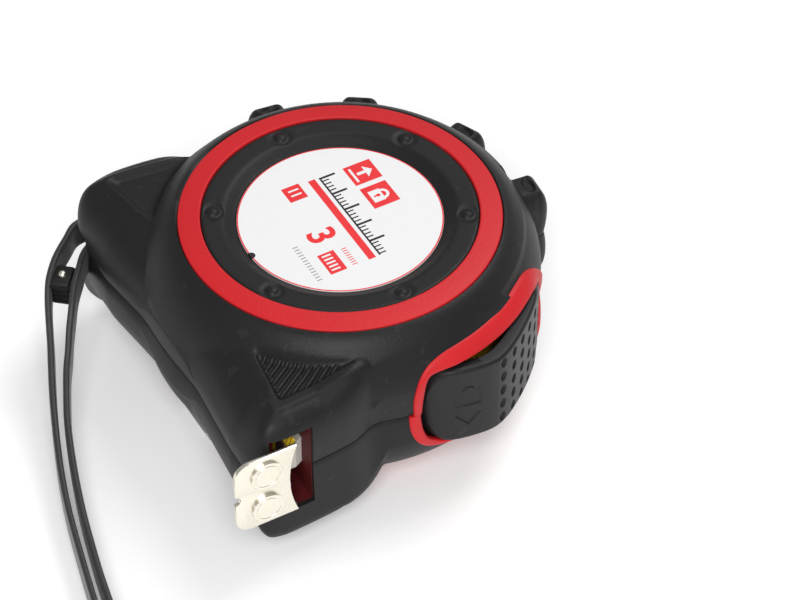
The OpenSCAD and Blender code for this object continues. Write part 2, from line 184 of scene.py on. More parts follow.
rubberLook = {"grainScale": 2600.0, "driftScale": 38.0, "dark": (0.0085, 0.0085, 0.0086),
              "light": (0.013, 0.013, 0.0132), "scuffFrom": 0.66, "scuffAmount": 0.25,
              "scuffTone": (0.035, 0.035, 0.036), "rough": 0.38, "roughDrift": 0.12,
              "bump": 0.22, "specular": 0.25, "sheen": 0.0}
rubber = grainedFinish("blackRubber", rubberLook)
buttonPlastic = grainedFinish("buttonPlastic", {**rubberLook, "dark": (0.010, 0.010, 0.0108),
                                                "light": (0.015, 0.015, 0.016), "rough": 0.34, "grainScale": 3400.0,
                                                "bump": 0.16})
redPlastic = grainedFinish("redPlastic", {
    "grainScale": 2300.0, "driftScale": 30.0, "dark": (0.50, 0.009, 0.014), "light": (0.60, 0.014, 0.019),
    "scuffFrom": 0.72, "scuffAmount": 0.12, "scuffTone": (0.7, 0.08, 0.08), "rough": 0.42, "roughDrift": 0.08,
    "bump": 0.3, "specular": 0.3, "sheen": 0.0})
# red plastic of the mouth lining and mouth guide, darkened to painted shade for the inside of the mouth
liningPaintedShade = grainedFinish("liningPaintedShade", {
    "grainScale": 1800.0, "driftScale": 60.0, "dark": (0.06, 0.004, 0.006), "light": (0.11, 0.006, 0.008),
    "scuffFrom": 0.7, "scuffAmount": 0.2, "scuffTone": (0.25, 0.03, 0.03), "rough": 0.5, "roughDrift": 0.1,
    "bump": 0.2, "specular": 0.4, "sheen": 0.0})
nylon = grainedFinish("whiteNylon", {
    "grainScale": 1500.0, "driftScale": 50.0, "dark": (0.66, 0.64, 0.58), "light": (0.78, 0.77, 0.72),
    "scuffFrom": 0.7, "scuffAmount": 0.1, "scuffTone": (0.5, 0.48, 0.44), "rough": 0.45, "roughDrift": 0.1,
    "bump": 0.1, "specular": 0.5, "sheen": 0.0})
darkRubber = grainedFinish("slotRubber", {**rubberLook, "rough": 0.6})
brakeRubber = grainedFinish("brakeRubber", {**rubberLook, "dark": (0.03, 0.03, 0.03), "light": (0.06, 0.06, 0.06),
                                            "rough": 0.7})
nickel = metalFinish("brightNickel", {"brush": (1, 1, 9), "dark": (0.78, 0.73, 0.62), "light": (0.92, 0.88, 0.78),
                                      "rough": 0.16, "bump": 0.05})
zinc = metalFinish("zincSteel", {"brush": (3, 3, 3), "dark": (0.42, 0.43, 0.45), "light": (0.62, 0.63, 0.66),
                                 "rough": 0.28, "bump": 0.08})
# also put on the hook's nickel tab, where its darker tone is painted shade inside the mouth
springSteelAndTabShade = metalFinish("springSteelAndTabShade", {"brush": (12, 1, 1), "dark": (0.36, 0.37, 0.39),
                                          "light": (0.52, 0.53, 0.55),
                                          "rough": 0.24, "bump": 0.12})
print("finishes made")


# ---- a finished piece: the body it moves with, and the nodes it stands for, which are hidden
def settle(piece, body, slot, *nodes):
    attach(piece, body)
    if nodes:
        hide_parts(*nodes)


# ---- mesh helpers, which take millimetres
def makePiece(name, points, faces, material):
    mesh = bpy.data.meshes.new(name)
    mesh.from_pydata([tuple(float(v) * mm for v in p) for p in points], [], [tuple(int(i) for i in f) for f in faces])
    mesh.materials.append(material)
    piece = bpy.data.objects.new(name, mesh)
    bpy.context.scene.collection.objects.link(piece)
    return piece


def gridFaces(rows, columns, wrapRows, wrapColumns):
    r = np.arange(rows if wrapRows else rows - 1)
    c = np.arange(columns if wrapColumns else columns - 1)
    r, c = np.meshgrid(r, c, indexing="ij")
    r2, c2 = (r + 1) % rows, (c + 1) % columns
    return np.stack([r * columns + c, r * columns + c2, r2 * columns + c2, r2 * columns + c], -1).reshape(-1, 4)


def fairShade(piece, sharpDegrees=38.0):
    # faces outwards, smooth except across sharp edges
    work = bmesh.new()
    work.from_mesh(piece.data)
    bmesh.ops.remove_doubles(work, verts=work.verts, dist=1e-7)
    bmesh.ops.recalc_face_normals(work, faces=work.faces)
    limit = math.radians(sharpDegrees)
    for face in work.faces:
        face.smooth = True
    for edge in work.edges:
        edge.smooth = len(edge.link_faces) == 2 and edge.calc_face_angle(0.0) < limit
    work.to_mesh(piece.data)
    work.free()
    return piece


def bake(piece):
    # applies the live modifiers and leaves a plain mesh
    graph = bpy.context.evaluated_depsgraph_get()
    fresh = bpy.data.meshes.new_from_object(piece.evaluated_get(graph), depsgraph=graph)
    piece.modifiers.clear()
    old = piece.data
    piece.data = fresh
    bpy.data.meshes.remove(old)
    return piece


def cutAway(piece, *cutters):
    for cutter in cutters:
        step = piece.modifiers.new("cut", "BOOLEAN")
        step.operation = "DIFFERENCE"
        step.solver = "EXACT"
        step.object = cutter
        bpy.context.view_layer.update()
        bake(piece)
    return piece


def drop(*pieces):
    for piece in pieces:
        bpy.data.objects.remove(piece)


def bevelled(piece, width, segments=2):
    step = piece.modifiers.new("bevel", "BEVEL")
    step.width = width * mm
    step.segments = segments
    step.limit_method = "ANGLE"
    step.angle_limit = math.radians(35)
    bpy.context.view_layer.update()
    return bake(piece)


def prism(name, outline, low, high, axis, material):
    # a flat outline pushed from low to high along an axis
    count = len(outline)
    order = {"x": lambda a, b, c: (c, a, b), "y": lambda a, b, c: (a, c, b), "z": lambda a, b, c: (a, b, c)}[axis]
    points = [order(p[0], p[1], low) for p in outline] + [order(p[0], p[1], high) for p in outline]
    faces = [list(range(count))[::-1], [count + k for k in range(count)]]
    faces += [[k, (k + 1) % count, count + (k + 1) % count, count + k] for k in range(count)]
    piece = makePiece(name, points, faces, material)
    return fairShade(piece)


def lathe(name, profile, material, segments=128, centre=(0.0, 0.0, 0.0), axis="z"):
    # a closed profile of (radius, height) turned about an axis
    profile = np.array(profile, float)
    turn = np.linspace(0, 2 * math.pi, segments, endpoint=False)
    radius, height = profile[:, 0][:, None], profile[:, 1][:, None]
    a, b, c = radius * np.cos(turn), radius * np.sin(turn), height + 0 * turn
    points = np.stack({"z": (a, b, c), "x": (c, a, b), "y": (a, c, b)}[axis], -1).reshape(-1, 3) + np.array(centre)
    piece = makePiece(name, points, gridFaces(len(profile), segments, True, True), material)
    return fairShade(piece)


def smoothMax(a, b, width):
    h = np.clip(0.5 + 0.5 * (a - b) / width, 0, 1)
    return b + (a - b) * h + width * h * (1 - h)


def smoothMin(a, b, width):
    return -smoothMax(-a, -b, width)


def step01(value, low, high):
    t = np.clip((value - low) / (high - low), 0, 1)
    return t * t * (3 - 2 * t)


def throughPoints(points, count):
    # a smooth line through the points, with even spacing
    points = np.array(points, float)
    padded = np.vstack([2 * points[0] - points[1], points, 2 * points[-1] - points[-2]])
    fine = []
    for k in range(len(points) - 1):
        p0, p1, p2, p3 = padded[k:k + 4]
        for t in np.linspace(0, 1, 16, endpoint=False):
            fine.append(0.5 * (2 * p1 + (p2 - p0) * t + (2 * p0 - 5 * p1 + 4 * p2 - p3) * t * t
                               + (3 * p1 - p0 - 3 * p2 + p3) * t ** 3))
    fine.append(points[-1])
    fine = np.array(fine)
    along = np.concatenate([[0], np.cumsum(np.linalg.norm(np.diff(fine, axis=0), axis=1))])
    wanted = np.linspace(0, along[-1], count)
    return np.stack([np.interp(wanted, along, fine[:, k]) for k in range(points.shape[1])], -1), along[-1]


# ---- wrist strap: a flat band on edge, round its post and out along the table
strapPlan = {"width": 5.6, "thickness": 1.3, "post": (-32.2, -31.8), "postRadius": 2.7, "postZ": 19.8, "steps": 460}
strapRoute = [
    (-35.4, -33.8, 19.7), (-35, -36, 19.5), (-33.2, -38.2, 19.2), (-30.8, -41.2, 18.7), (-28.6, -43.4, 18),
    (-26.6, -45, 17), (-24.1, -46.4, 15.3), (-21, -47.8, 13.2), (-17.8, -49.2, 11.2), (-14.4, -50.8, 9.4),
    (-10.4, -52.6, 7.7), (-6, -54.4, 6.2), (-1, -56.3, 5), (5, -58.4, 4.1), (12, -60.5, 3.5), (20, -62.5, 3.1),
    (28.4, -64.5, 3.1), (37, -66.4, 3.1), (46, -68.2, 3.1), (54, -69.4, 3.1), (60, -69.8, 3.1), (64.4, -69.2, 3.1),
    (66.6, -67.4, 3.1), (66.6, -65, 3.1), (64.4, -63.4, 3.1), (60, -62.9, 3.1), (54, -63.4, 3.1), (46, -63.9, 3.1),
    (37.4, -63.7, 3.1), (29.2, -62.3, 3.1), (20.6, -60.3, 3.1), (12.8, -58.3, 3.5), (5.8, -56.2, 4.1),
    (-0.2, -54.2, 5), (-5.2, -52.3, 6.2), (-9.2, -50.4, 7.7), (-12.7, -48.6, 9.4), (-15.3, -46.9, 11.2),
    (-17.9, -45.3, 13.2), (-20.3, -43.6, 15.3), (-22.4, -42.2, 16.6), (-24.2, -40.8, 17.6), (-26, -39.2, 18.3),
    (-27.8, -37.6, 19), (-29, -35.8, 19.5), (-29.3, -33.9, 19.7)]


def roundPost(first, last, steps):
    angles = np.radians(np.linspace(first, last, steps + 1))
    x = strapPlan["post"][0] + strapPlan["postRadius"] * np.cos(angles)
    y = strapPlan["post"][1] + strapPlan["postRadius"] * np.sin(angles)
    return [(a, b, strapPlan["postZ"]) for a, b in zip(x, y)]


strapLine, strapLong = throughPoints(roundPost(48, 190, 6) + strapRoute + roundPost(-10, 40, 3), strapPlan["steps"])
print("strap length", round(strapLong, 1), "mm")
g = Graph("strapRubber")
strapUv = g.add("ShaderNodeUVMap", {"uv_map": "band"}, {})
strapFine = g.noise(1400.0, 3.0)
strapLines = g.add("ShaderNodeTexWave", {"bands_direction": "Y"}, {"Vector": strapUv, "Scale": 2.2,
                                                                   "Distortion": 0.4, "Detail": 1.0})
strapWeave = g.add("ShaderNodeTexWave", {"bands_direction": "X"}, {"Vector": strapUv, "Scale": 160.0,
                                                                   "Distortion": 0.2})
strapTone = g.mix(strapFine, (0.016, 0.016, 0.018), (0.032, 0.032, 0.035))
strapHeight = strapLines * 0.6 + strapWeave * 0.3 + strapFine * 0.3
strapRubber = g.finish({"Base Color": strapTone, "Roughness": strapFine * 0.15 + 0.36,
                        "Normal": g.bump(strapHeight, 0.25, 0.00015),
                        "Sheen Weight": 0.12, "Sheen Roughness": 0.5, "Specular IOR Level": 0.5})


def makeStrap():
    along = np.gradient(strapLine, axis=0)
    along[:, 2] = 0
    along /= np.linalg.norm(along, axis=1)[:, None]
    side = np.stack([-along[:, 1], along[:, 0], 0 * along[:, 0]], -1)
    turn = np.linspace(0, 2 * math.pi, 24, endpoint=False)
    across = np.sign(np.cos(turn)) * np.abs(np.cos(turn)) ** 0.35
    upward = np.sign(np.sin(turn)) * np.abs(np.sin(turn)) ** 0.55
    t, w = strapPlan["thickness"] / 2, strapPlan["width"] / 2
    points = strapLine[:, None, :] + side[:, None, :] * across[None, :, None] * t
    points[:, :, 2] += upward[None, :] * w
    count, ring = len(strapLine), len(turn)
    faces = gridFaces(count, ring, False, True).tolist()
    faces += [list(range(ring))[::-1], [(count - 1) * ring + k for k in range(ring)]]
    piece = makePiece("wristStrap", points.reshape(-1, 3), faces, strapRubber)
    layer = piece.data.uv_layers.new(name="band")
    for polygon in piece.data.polygons:
        for loop, vertex in zip(polygon.loop_indices, polygon.vertices):
            v = (vertex % ring) / ring
            if polygon.vertices[0] % ring == ring - 1 and v == 0:
                v = 1.0
            layer.data[loop].uv = ((vertex // ring) / count * strapLong * 0.01, v)
    work = bmesh.new()
    work.from_mesh(piece.data)
    bmesh.ops.recalc_face_normals(work, faces=work.faces)
    for face in work.faces:
        face.smooth = len(face.verts) == 4
    work.to_mesh(piece.data)
    work.free()
    return piece


wristStrap = makeStrap()
settle(wristStrap, "case", "strap", "wrist_strap")
print("strap made")


# ---- rubber overmould: drum rim, foot and knobs as one fair skin
gripPlan = {"drumRadius": 35.3, "rimInner": 28.42, "crest": 28.4, "rimTop": 37.4, "rimPower": 1.5, "drumEdgeZ": 27.0,
            "seamDraft": 0.45, "seamGap": 0.07,
            "knobAngles": (84.5, 113.5, 146.0, 172.5), "knobReach": 39.2, "knobHalf": 3.9, "knobRound": 2.0,
            "knobTop": 31.2, "knobSoft": 2.4, "knobEdgeZ": 26.0, "skin": 1.2}
# the foot's edge is crisp at nose and heel and soft along the sole; heights run up from the seam's side
footPlan = {"front": {"top": 32.9, "sideEdge": 26.5, "side": 4.2, "soleEdge": 24.0, "sole": 9.5, "tilt": 0.16,
                      "rise": 2.2},
            "back": {"top": 37.65, "sideEdge": 33.45, "side": 4.2, "soleEdge": 23.6, "sole": 11.0, "tilt": 0.0,
                     "rise": 0.0}}
footSides = [((-36.2, 0), (1, 0)), ((36.4, 0), (-1, 0)), ((-36.2, -32), (0.821, 0.571)),
             ((36.4, -33.7), (-0.707, 0.707)),
             ((36.4, -19), (-0.981, -0.196)), ((35.4, -14), (-0.751, -0.661)), ((-36.2, -18), (0.946, -0.324)),
             ((-35, -14.5), (0.573, -0.819))]
footSole = ((-40, -36.6), (-20.7, -36.6), (-9.6, -35.3), (0, -34.4), (12.9, -34.9), (26.6, -36.1), (40, -36.1))


def soleInside(x, y):
    sole = np.array(footSole)
    return y - np.interp(x, sole[:, 0], sole[:, 1])


def sidesInside(x, y):
    depth = 60.0 + 0 * x
    for corner, inward in footSides:
        depth = smoothMin(depth, (x - corner[0]) * inward[0] + (y - corner[1]) * inward[1], 3.0)
    return depth


def footInside(x, y):
    return smoothMin(soleInside(x, y), sidesInside(x, y), 3.0)


def footHeight(x, y, half):
    p = footPlan[half]
    soft = step01(sidesInside(x, y) - soleInside(x, y), -2.5, 3.5)
    top = p["top"] + np.clip((y + 22) * p["tilt"], 0, p["rise"]) * (x > 0)
    low = p["sideEdge"] + (p["soleEdge"] - p["sideEdge"]) * soft
    return pillow(footInside(x, y), low, top - low, p["side"] + (p["sole"] - p["side"]) * soft, 2.3 - 0.2 * soft)


def knobInside(x, y):
    best = np.full(np.shape(x), -50.0)
    for angle in gripPlan["knobAngles"]:
        a = math.radians(angle)
        out, side = x * math.cos(a) + y * math.sin(a), -x * math.sin(a) + y * math.cos(a)
        r = gripPlan["knobRound"]
        qx, qy = np.abs(side) - (gripPlan["knobHalf"] - r), out - (gripPlan["knobReach"] - r)
        away = np.hypot(np.maximum(qx, 0), np.maximum(qy, 0)) + np.minimum(np.maximum(qx, qy), 0)
        best = np.maximum(best, np.where(out > 20, r - away, -50.0))
    return best


def planInside(x, y):
    drum = gripPlan["drumRadius"] - np.hypot(x, y)
    return smoothMax(smoothMax(drum, footInside(x, y), 1.6), knobInside(x, y), 1.4)


def pillow(depth, low, rise, width, power):
    t = np.clip(1 - depth / width, 0, 1)
    return np.where(depth > 0, low + rise * (1 - t ** power) ** (1 / power), low + 3 * depth)


def rimHeight(r):
    p = gripPlan
    t = np.clip((r - p["crest"]) / (p["drumRadius"] - p["crest"]), 0, 1)
    rise = (p["rimTop"] - p["drumEdgeZ"]) * (1 - t ** p["rimPower"]) ** (1 / p["rimPower"])
    return p["drumEdgeZ"] + np.where(r < p["drumRadius"], rise, 3 * (p["drumRadius"] - r))


padPlan = {"arc": 32.0, "heelArc": 33.2, "ribPitch": 1.32, "ribAngle": -57.0, "ribRadius": 0.43, "ribClear": 0.6,
           "recess": 0.5, "border": 0.35, "heelRidge": 0.32, "heelDip": 0.5, "pitAt": 36.4, "pit": (1.15, 2.1),
           "pitDepth": 0.75}
nosePad = [((30.5, -28.4), (-0.9987, -0.051)), ((18.8, -26.9), (0.127, 0.992))]
heelPad = [((-32.2, -30), (0.992, -0.123)), ((-32.2, -30), (-0.182, 0.983))]


def padInside(x, y, sides, arc, width):
    depth = np.hypot(x, y) - arc
    for corner, inward in sides:
        depth = smoothMin(depth, (x - corner[0]) * inward[0] + (y - corner[1]) * inward[1], width)
    return depth


def padRelief(x, y):
    nose = np.where(x > 0, padInside(x, y, nosePad, padPlan["arc"], 0.8), -9)
    p = padPlan
    band = step01(nose, -2.6, -1.6) * (1 - step01(nose, -0.1, 0.35))
    relief = p["border"] * band * step01(np.hypot(x, y), 31.5, 34.0)
    relief = relief - p["recess"] * step01(nose, 0.0, 0.6)
    heel = np.where(x < 0, padInside(x, y, heelPad, padPlan["heelArc"], 1.8), -9)
    relief = relief + p["heelRidge"] * np.exp(-((heel + 0.5) / 0.55) ** 2) - p["heelDip"] * step01(heel, -0.1, 1.0)
    for angle in gripPlan["knobAngles"]:
        b = math.radians(angle)
        out, side = x * math.cos(b) + y * math.sin(b), -x * math.sin(b) + y * math.cos(b)
        pit = np.hypot((out - p["pitAt"]) / p["pit"][0], side / p["pit"][1])
        relief = relief - p["pitDepth"] * (1 - step01(pit, 0.55, 1.05)) * (out > 20)
    return relief


def gripHeight(x, y, half, relief):
    top = smoothMax(rimHeight(np.hypot(x, y)), footHeight(x, y, half), 0.7)
    p = gripPlan
    knobs = pillow(knobInside(x, y), p["knobEdgeZ"], p["knobTop"] - p["knobEdgeZ"], p["knobSoft"], 2.2)
    top = smoothMax(top, knobs, 0.8)
    return top + padRelief(x, y) if relief else top


def gripAngles(fine, coarse):
    # closer together round the foot, and closest at the knobs' sides
    angles = [-145.0]
    while angles[-1] < 214.8:
        step = fine if angles[-1] < -18 else coarse
        if any(3.9 < abs(angles[-1] - knob) < 7.4 for knob in gripPlan["knobAngles"]):
            step = 0.14
        angles.append(angles[-1] + step)
    return np.radians([angle for angle in angles if angle < 214.8])             # stays short of a whole turn


def makeGrip(half, fine, coarse, rows):
    angles = gripAngles(fine, coarse)
    low, high = np.full(len(angles), 30.0), np.full(len(angles), 54.0)
    for _ in range(34):
        middle = (low + high) / 2
        inside = planInside(middle * np.cos(angles), middle * np.sin(angles)) > 0
        low, high = np.where(inside, middle, low), np.where(inside, high, middle)
    reach = low
    inner = gripPlan["rimInner"]
    loops = []

    def loop(radius, height):
        loops.append(np.stack([radius * np.cos(angles), radius * np.sin(angles), height + 0 * angles], -1))

    def skinHeight(radius, relief):
        return gripHeight(radius * np.cos(angles), radius * np.sin(angles), half, relief)

    loop(inner + 0 * reach, 36.9)
    for u in np.linspace(0, 1, rows):
        radius = inner + 0.05 + (reach - inner - 0.05) * math.sin(math.pi / 2 * u)
        loop(radius, skinHeight(radius, True) - (0.25 if u == 0 else 0))
    edge = loops[-1][:, 2]
    foot = seamZ + gripPlan["seamGap"]
    draft = gripPlan["seamDraft"]
    for t in np.linspace(0.1, 1, 10):
        loop(reach - draft * t * t, edge + (foot + 0.2 - edge) * t)
    loop(reach - draft - 0.2, foot)
    skin = gripPlan["skin"]
    loop(reach - draft - skin, foot)
    for t in (0.5, 1.0):
        loop(reach - skin, foot + (edge - 0.6 - foot) * t)
    for u in np.linspace(0.97, 0.0, 22):
        radius = inner + (reach - skin - inner) * math.sin(math.pi / 2 * u)
        loop(radius, np.minimum(skinHeight(radius, False) - skin, 36.2) if u else 36.0)
    points = np.concatenate(loops)
    return points, gridFaces(len(loops), len(angles), True, True)


def bezelLine(loopPoints, count):
    line, _ = throughPoints([(a, h, 0) for a, h in loopPoints], count)
    return line[:, 0], line[:, 1]


bezelPlan = {
    "frontInner": ((-5.3, 0.03), (-5.2, 2.5), (-4.9, 5), (-4.2, 7.2), (-2.6, 8.5), (0.2, 9.1), (5, 9.3), (15, 9.3),
                   (28, 9.4),
                   (36, 9.6), (41, 9.4), (45.5, 8.4), (49, 7.0), (52, 4.8), (53.8, 2.3), (54.4, 0.03)),
    "frontOuter": ((-7.9, 0.03), (-8.2, 3.2), (-7.7, 6), (-6.2, 8.4), (-3.2, 10.3), (1, 11.3), (6, 11.7),
                   (16, 11.9), (28, 12),
                   (38, 12.1), (44.5, 11.6), (49.8, 9.8), (53.8, 6.9), (56.3, 3.4), (57.2, 0.03)),
    "backInner": ((-5.6, 0.03), (-5.5, 2), (-4.9, 4.2), (-3.4, 6.4), (0, 8.1), (4, 8.9), (12, 9.1), (30, 9.2),
                  (40, 9.2),
                  (45.5, 8.4), (49, 7.0), (52, 4.8), (53.8, 2.3), (54.4, 0.03)),
    "backOuter": ((-9.2, 0.03), (-9.3, 1.6), (-8.8, 3.8), (-7.2, 6.2), (-4.0, 8.5), (0, 9.8), (6, 10.7), (14, 11.1),
                  (30, 11.2),
                  (42, 11), (49.5, 9.6), (53.8, 6.9), (56.3, 3.4), (57.2, 0.03)),
    "proud": 0.32, "lip": 35.75, "endLip": 34.95, "count": 150}


def bezelLip(angle):
    # the lip is highest along the middle of the button and falls to the drum at its ends
    share = step01(angle, -5, 6) * (1 - step01(angle, 42, 54))
    return bezelPlan["endLip"] + (bezelPlan["lip"] - bezelPlan["endLip"]) * share


def drumSkin(height):
    # the drum's outside at a height from the seam
    z = np.abs(height) + seamZ
    p = gripPlan
    t = np.clip((z - p["drumEdgeZ"]) / (p["rimTop"] - p["drumEdgeZ"]), 0, 1)
    above = p["crest"] + (p["drumRadius"] - p["crest"]) * (1 - t ** p["rimPower"]) ** (1 / p["rimPower"])
    fall = np.clip((p["drumEdgeZ"] - z) / 6.2, 0, 1)
    return np.where(z > p["drumEdgeZ"], above, p["drumRadius"] - p["seamDraft"] * fall ** 2)


def makeBezel(name, half, sign):
    innerA, innerH = bezelLine(bezelPlan[half + "Inner"], bezelPlan["count"])
    outerA, outerH = bezelLine(bezelPlan[half + "Outer"], bezelPlan["count"])
    outerR = drumSkin(outerH) + bezelPlan["proud"]
    innerR = np.maximum(bezelLip(innerA), drumSkin(innerH) + 0.2)
    section = ((0.0, -1.0), (0.0, -0.35), (0.05, -0.1), (0.16, 0.02), (0.4, 0.12), (0.65, 0.12), (0.86, 0.03),
               (0.96, -0.1),
               (1.0, -0.35), (1.0, -2.2))
    loops = []
    for share, lift in section:
        a = np.radians(innerA + (outerA - innerA) * share)
        h = innerH + (outerH - innerH) * share
        r = innerR + (outerR - innerR) * share + lift
        loops.append(np.stack([r * np.cos(a), r * np.sin(a), seamZ + sign * h], -1))
    grid = np.array(loops).transpose(1, 0, 2)
    rows, columns = grid.shape[:2]
    faces = gridFaces(rows, columns, False, True).tolist()
    faces += [list(range(columns))[::-1], [(rows - 1) * columns + k for k in range(columns)]]
    piece = makePiece(name, grid.reshape(-1, 3), faces, redPlastic)
    return fairShade(piece, 50)


def bezelCutter(half, sign):
    outerA, outerH = bezelLine(bezelPlan[half + "Outer"], 90)
    centreA, centreH = 24.5, 0.0
    a = np.radians(centreA + (outerA - centreA) * 0.982)
    h = centreH + (outerH - centreH) * 0.97
    a = np.concatenate([a[:1], a, a[-1:]])
    h = np.concatenate([[-3.0], h, [-3.0]])
    points = [(r * math.cos(b), r * math.sin(b), seamZ + sign * k) for r in (30.5, 44.0) for b, k in zip(a, h)]
    count = len(a)
    faces = [list(range(count))[::-1], [count + k for k in range(count)]]
    faces += [[k, (k + 1) % count, count + (k + 1) % count, count + k] for k in range(count)]
    piece = makePiece("cutter" + half, points, faces, rubber)
    work = bmesh.new()
    work.from_mesh(piece.data)
    bmesh.ops.triangulate(work, faces=[f for f in work.faces if len(f.verts) > 4])
    bmesh.ops.recalc_face_normals(work, faces=work.faces)
    work.to_mesh(piece.data)
    work.free()
    return piece


def boxPiece(name, low, high):
    outline = [(low[0], low[1]), (high[0], low[1]), (high[0], high[1]), (low[0], high[1])]
    return prism(name, outline, low[2], high[2], "z", rubber)


def discPiece(name, x, y, radius, low, high, sides=48):
    turn = np.linspace(0, 2 * math.pi, sides, endpoint=False)
    return prism(name, [(x + radius * math.cos(t), y + radius * math.sin(t)) for t in turn], low, high, "z", rubber)


screwHoles = ((33.2, -19.2), (-30.0, -23.5), (31.3 * math.cos(math.radians(75)), 31.3 * math.sin(math.radians(75))),
              (31.3 * math.cos(math.radians(150)), 31.3 * math.sin(math.radians(150))))


mouthPlan = {"low": -33.0, "high": -25.0, "half": 9.0, "inset": 0.1, "wall": 0.22}
screwHole = {"radius": 2.1, "low": -1.0, "high": 17.0}


def makeGrips():
    made = []
    for name, node, half, sign, fine, coarse, rows in (("frontGrip", "front_grip", "front", 1, 0.36, 0.7, 64),
                                                       ("backGrip", "back_grip", "back", -1, 0.55, 0.9, 54)):
        points, faces = makeGrip(half, fine, coarse, rows)
        if sign < 0:
            points[:, 2] = 2 * seamZ - points[:, 2]
        piece = fairShade(makePiece(name, points, faces, rubber))
        cutters = [boxPiece("mouthCut", (25, mouthPlan["low"], seamZ - mouthPlan["half"]),
                        (45, mouthPlan["high"], seamZ + mouthPlan["half"])),
                   discPiece("strapCut", -32.2, -31.8, 4.6, seamZ - 4, seamZ + 4),
                   boxPiece("strapCorner", (-44.2, -43.8, seamZ - 4), (-28.1, -31.3, seamZ + 4)),
                   bezelCutter(half, sign)]
        if sign < 0:
            cutters += [discPiece("screwCut", x, y, screwHole["radius"], screwHole["low"], screwHole["high"]) for x,
                        y in screwHoles]
        cutAway(piece, *cutters)
        drop(*cutters)
        fairShade(piece, 42)
        settle(piece, "case", "black_rubber", node)
        made.append(piece)
        print(name, "faces", len(piece.data.polygons))
    return made


frontGrip, backGrip = makeGrips()
for name, half, sign in (("frontBezel", "front", 1), ("backBezel", "back", -1)):
    bezel = makeBezel(name, half, sign)
    settle(bezel, "case", "red_plastic")
print("overmould and bezels made")


# ---- coloured ring on both faces, and the back plate inside the back ring
ringPlan = {"inner": 24.4, "outer": 28.38, "innerTop": 17.25, "outerTop": 16.72, "soft": 0.28}


def ringProfile(sign):
    p = ringPlan
    slope = (p["outerTop"] - p["innerTop"]) / (p["outer"] - p["inner"])
    line = [(p["inner"], 12.0), (p["inner"], p["innerTop"] - p["soft"])]
    for k in range(1, 6):
        t = math.pi / 2 * k / 5
        line.append((p["inner"] + p["soft"] * (1 - math.cos(t)), p["innerTop"] - p["soft"] * (1 - math.sin(t))))
    for k in range(1, 8):
        r = p["inner"] + p["soft"] + (p["outer"] - p["inner"] - 2 * p["soft"]) * k / 8
        crown = 0.05 * math.sin(math.pi * k / 8)
        line.append((r, min(p["innerTop"], p["innerTop"] + slope * (r - p["inner"]) + crown)))
    for k in range(6):
        t = math.pi / 2 * k / 5
        line.append((p["outer"] - p["soft"] * (1 - math.sin(t)), p["outerTop"] - p["soft"] * (1 - math.cos(t))))
    line.append((p["outer"], 12.0))
    return [(r, seamZ + sign * h) for r, h in line]


def boxShell(name, low, high, wall, material):
    # a tunnel along X with an end wall at its low X
    def loop(x, grow):
        return [(x, low[1] - grow, low[2] - grow), (x, high[1] + grow, low[2] - grow),
                (x, high[1] + grow, high[2] + grow), (x, low[1] - grow, high[2] + grow)]
    points = loop(high[0], 0) + loop(low[0], 0) + loop(low[0] - wall, wall) + loop(high[0], wall)
    faces = [[4, 5, 6, 7], [8, 9, 10, 11]]
    for a, b in ((0, 4), (8, 12), (12, 0)):
        faces += [[a + k, a + (k + 1) % 4, b + (k + 1) % 4, b + k] for k in range(4)]
    return fairShade(makePiece(name, points, faces, material))


for name, node, sign in (("frontRing", "front_shell", 1), ("backRing", "back_shell", -1)):
    ring = lathe(name, ringProfile(sign), redPlastic, 240)
    settle(ring, "case", "red_plastic", node)

# the lining carries painted shade in place of its red plastic's own colour
mouthLining = boxShell("mouthLining", (26.0, mouthPlan["low"] + mouthPlan["inset"],
                                       seamZ - mouthPlan["half"] + mouthPlan["inset"]),
                       (35.3, mouthPlan["high"] - mouthPlan["inset"], seamZ + mouthPlan["half"] - mouthPlan["inset"]),
                       mouthPlan["wall"], liningPaintedShade)
settle(mouthLining, "case", "red_plastic")


def joinPieces(name, *pieces):
    work = bmesh.new()
    for piece in pieces:
        work.from_mesh(piece.data)
    mesh = bpy.data.meshes.new(name)
    work.to_mesh(mesh)
    work.free()
    mesh.materials.append(pieces[0].data.materials[0])
    drop(*pieces)
    joined = bpy.data.objects.new(name, mesh)
    bpy.context.scene.collection.objects.link(joined)
    return joined


slotPlan = {"reach": 6.4, "half": 4.0, "wall": 0.5, "wallRadius": 4.62, "clear": 0.9}


def makeSlotLining():
    # dark floor, roof and inner wall of the strap's slot
    p = slotPlan
    cx, cy = strapPlan["post"]

    def insideReach(angle, longest):
        r = np.linspace(0.1, longest, 120)
        good = footInside(cx + r * math.cos(angle), cy + r * math.sin(angle)) > p["clear"]
        return r[good].max() if good.any() else 0.1

    outline = []
    for angle in np.linspace(0, 2 * math.pi, 72, endpoint=False):
        r = insideReach(angle, p["reach"])
        outline.append((cx + r * math.cos(angle), cy + r * math.sin(angle)))
    parts = [prism("slotPlate", outline, seamZ + low, seamZ + low + p["wall"], "z", darkRubber)
             for low in (p["half"], -p["half"] - p["wall"])]
    arc = [a for a in np.radians(np.linspace(6, 150, 40)) if insideReach(a, 5.4) > 5.3]
    inner = [(cx + p["wallRadius"] * math.cos(a), cy + p["wallRadius"] * math.sin(a)) for a in arc]
    outer = [(cx + (p["wallRadius"] + p["wall"]) * math.cos(a),
              cy + (p["wallRadius"] + p["wall"]) * math.sin(a)) for a in arc]
    inner.insert(0, (-28.05, -34.6))
    outer.insert(0, (-27.55, -34.6))
    parts.append(prism("slotWall", inner + outer[::-1], seamZ - p["half"] - 0.2, seamZ + p["half"] + 0.2, "z",
                       darkRubber))
    return joinPieces("slotLining", *parts)


slotLining = makeSlotLining()
settle(slotLining, "case", "black_rubber")

backPlan = {"rim": 24.35, "grooves": 5, "grooveDepth": 0.22, "low": 15.3, "top": 17.22}


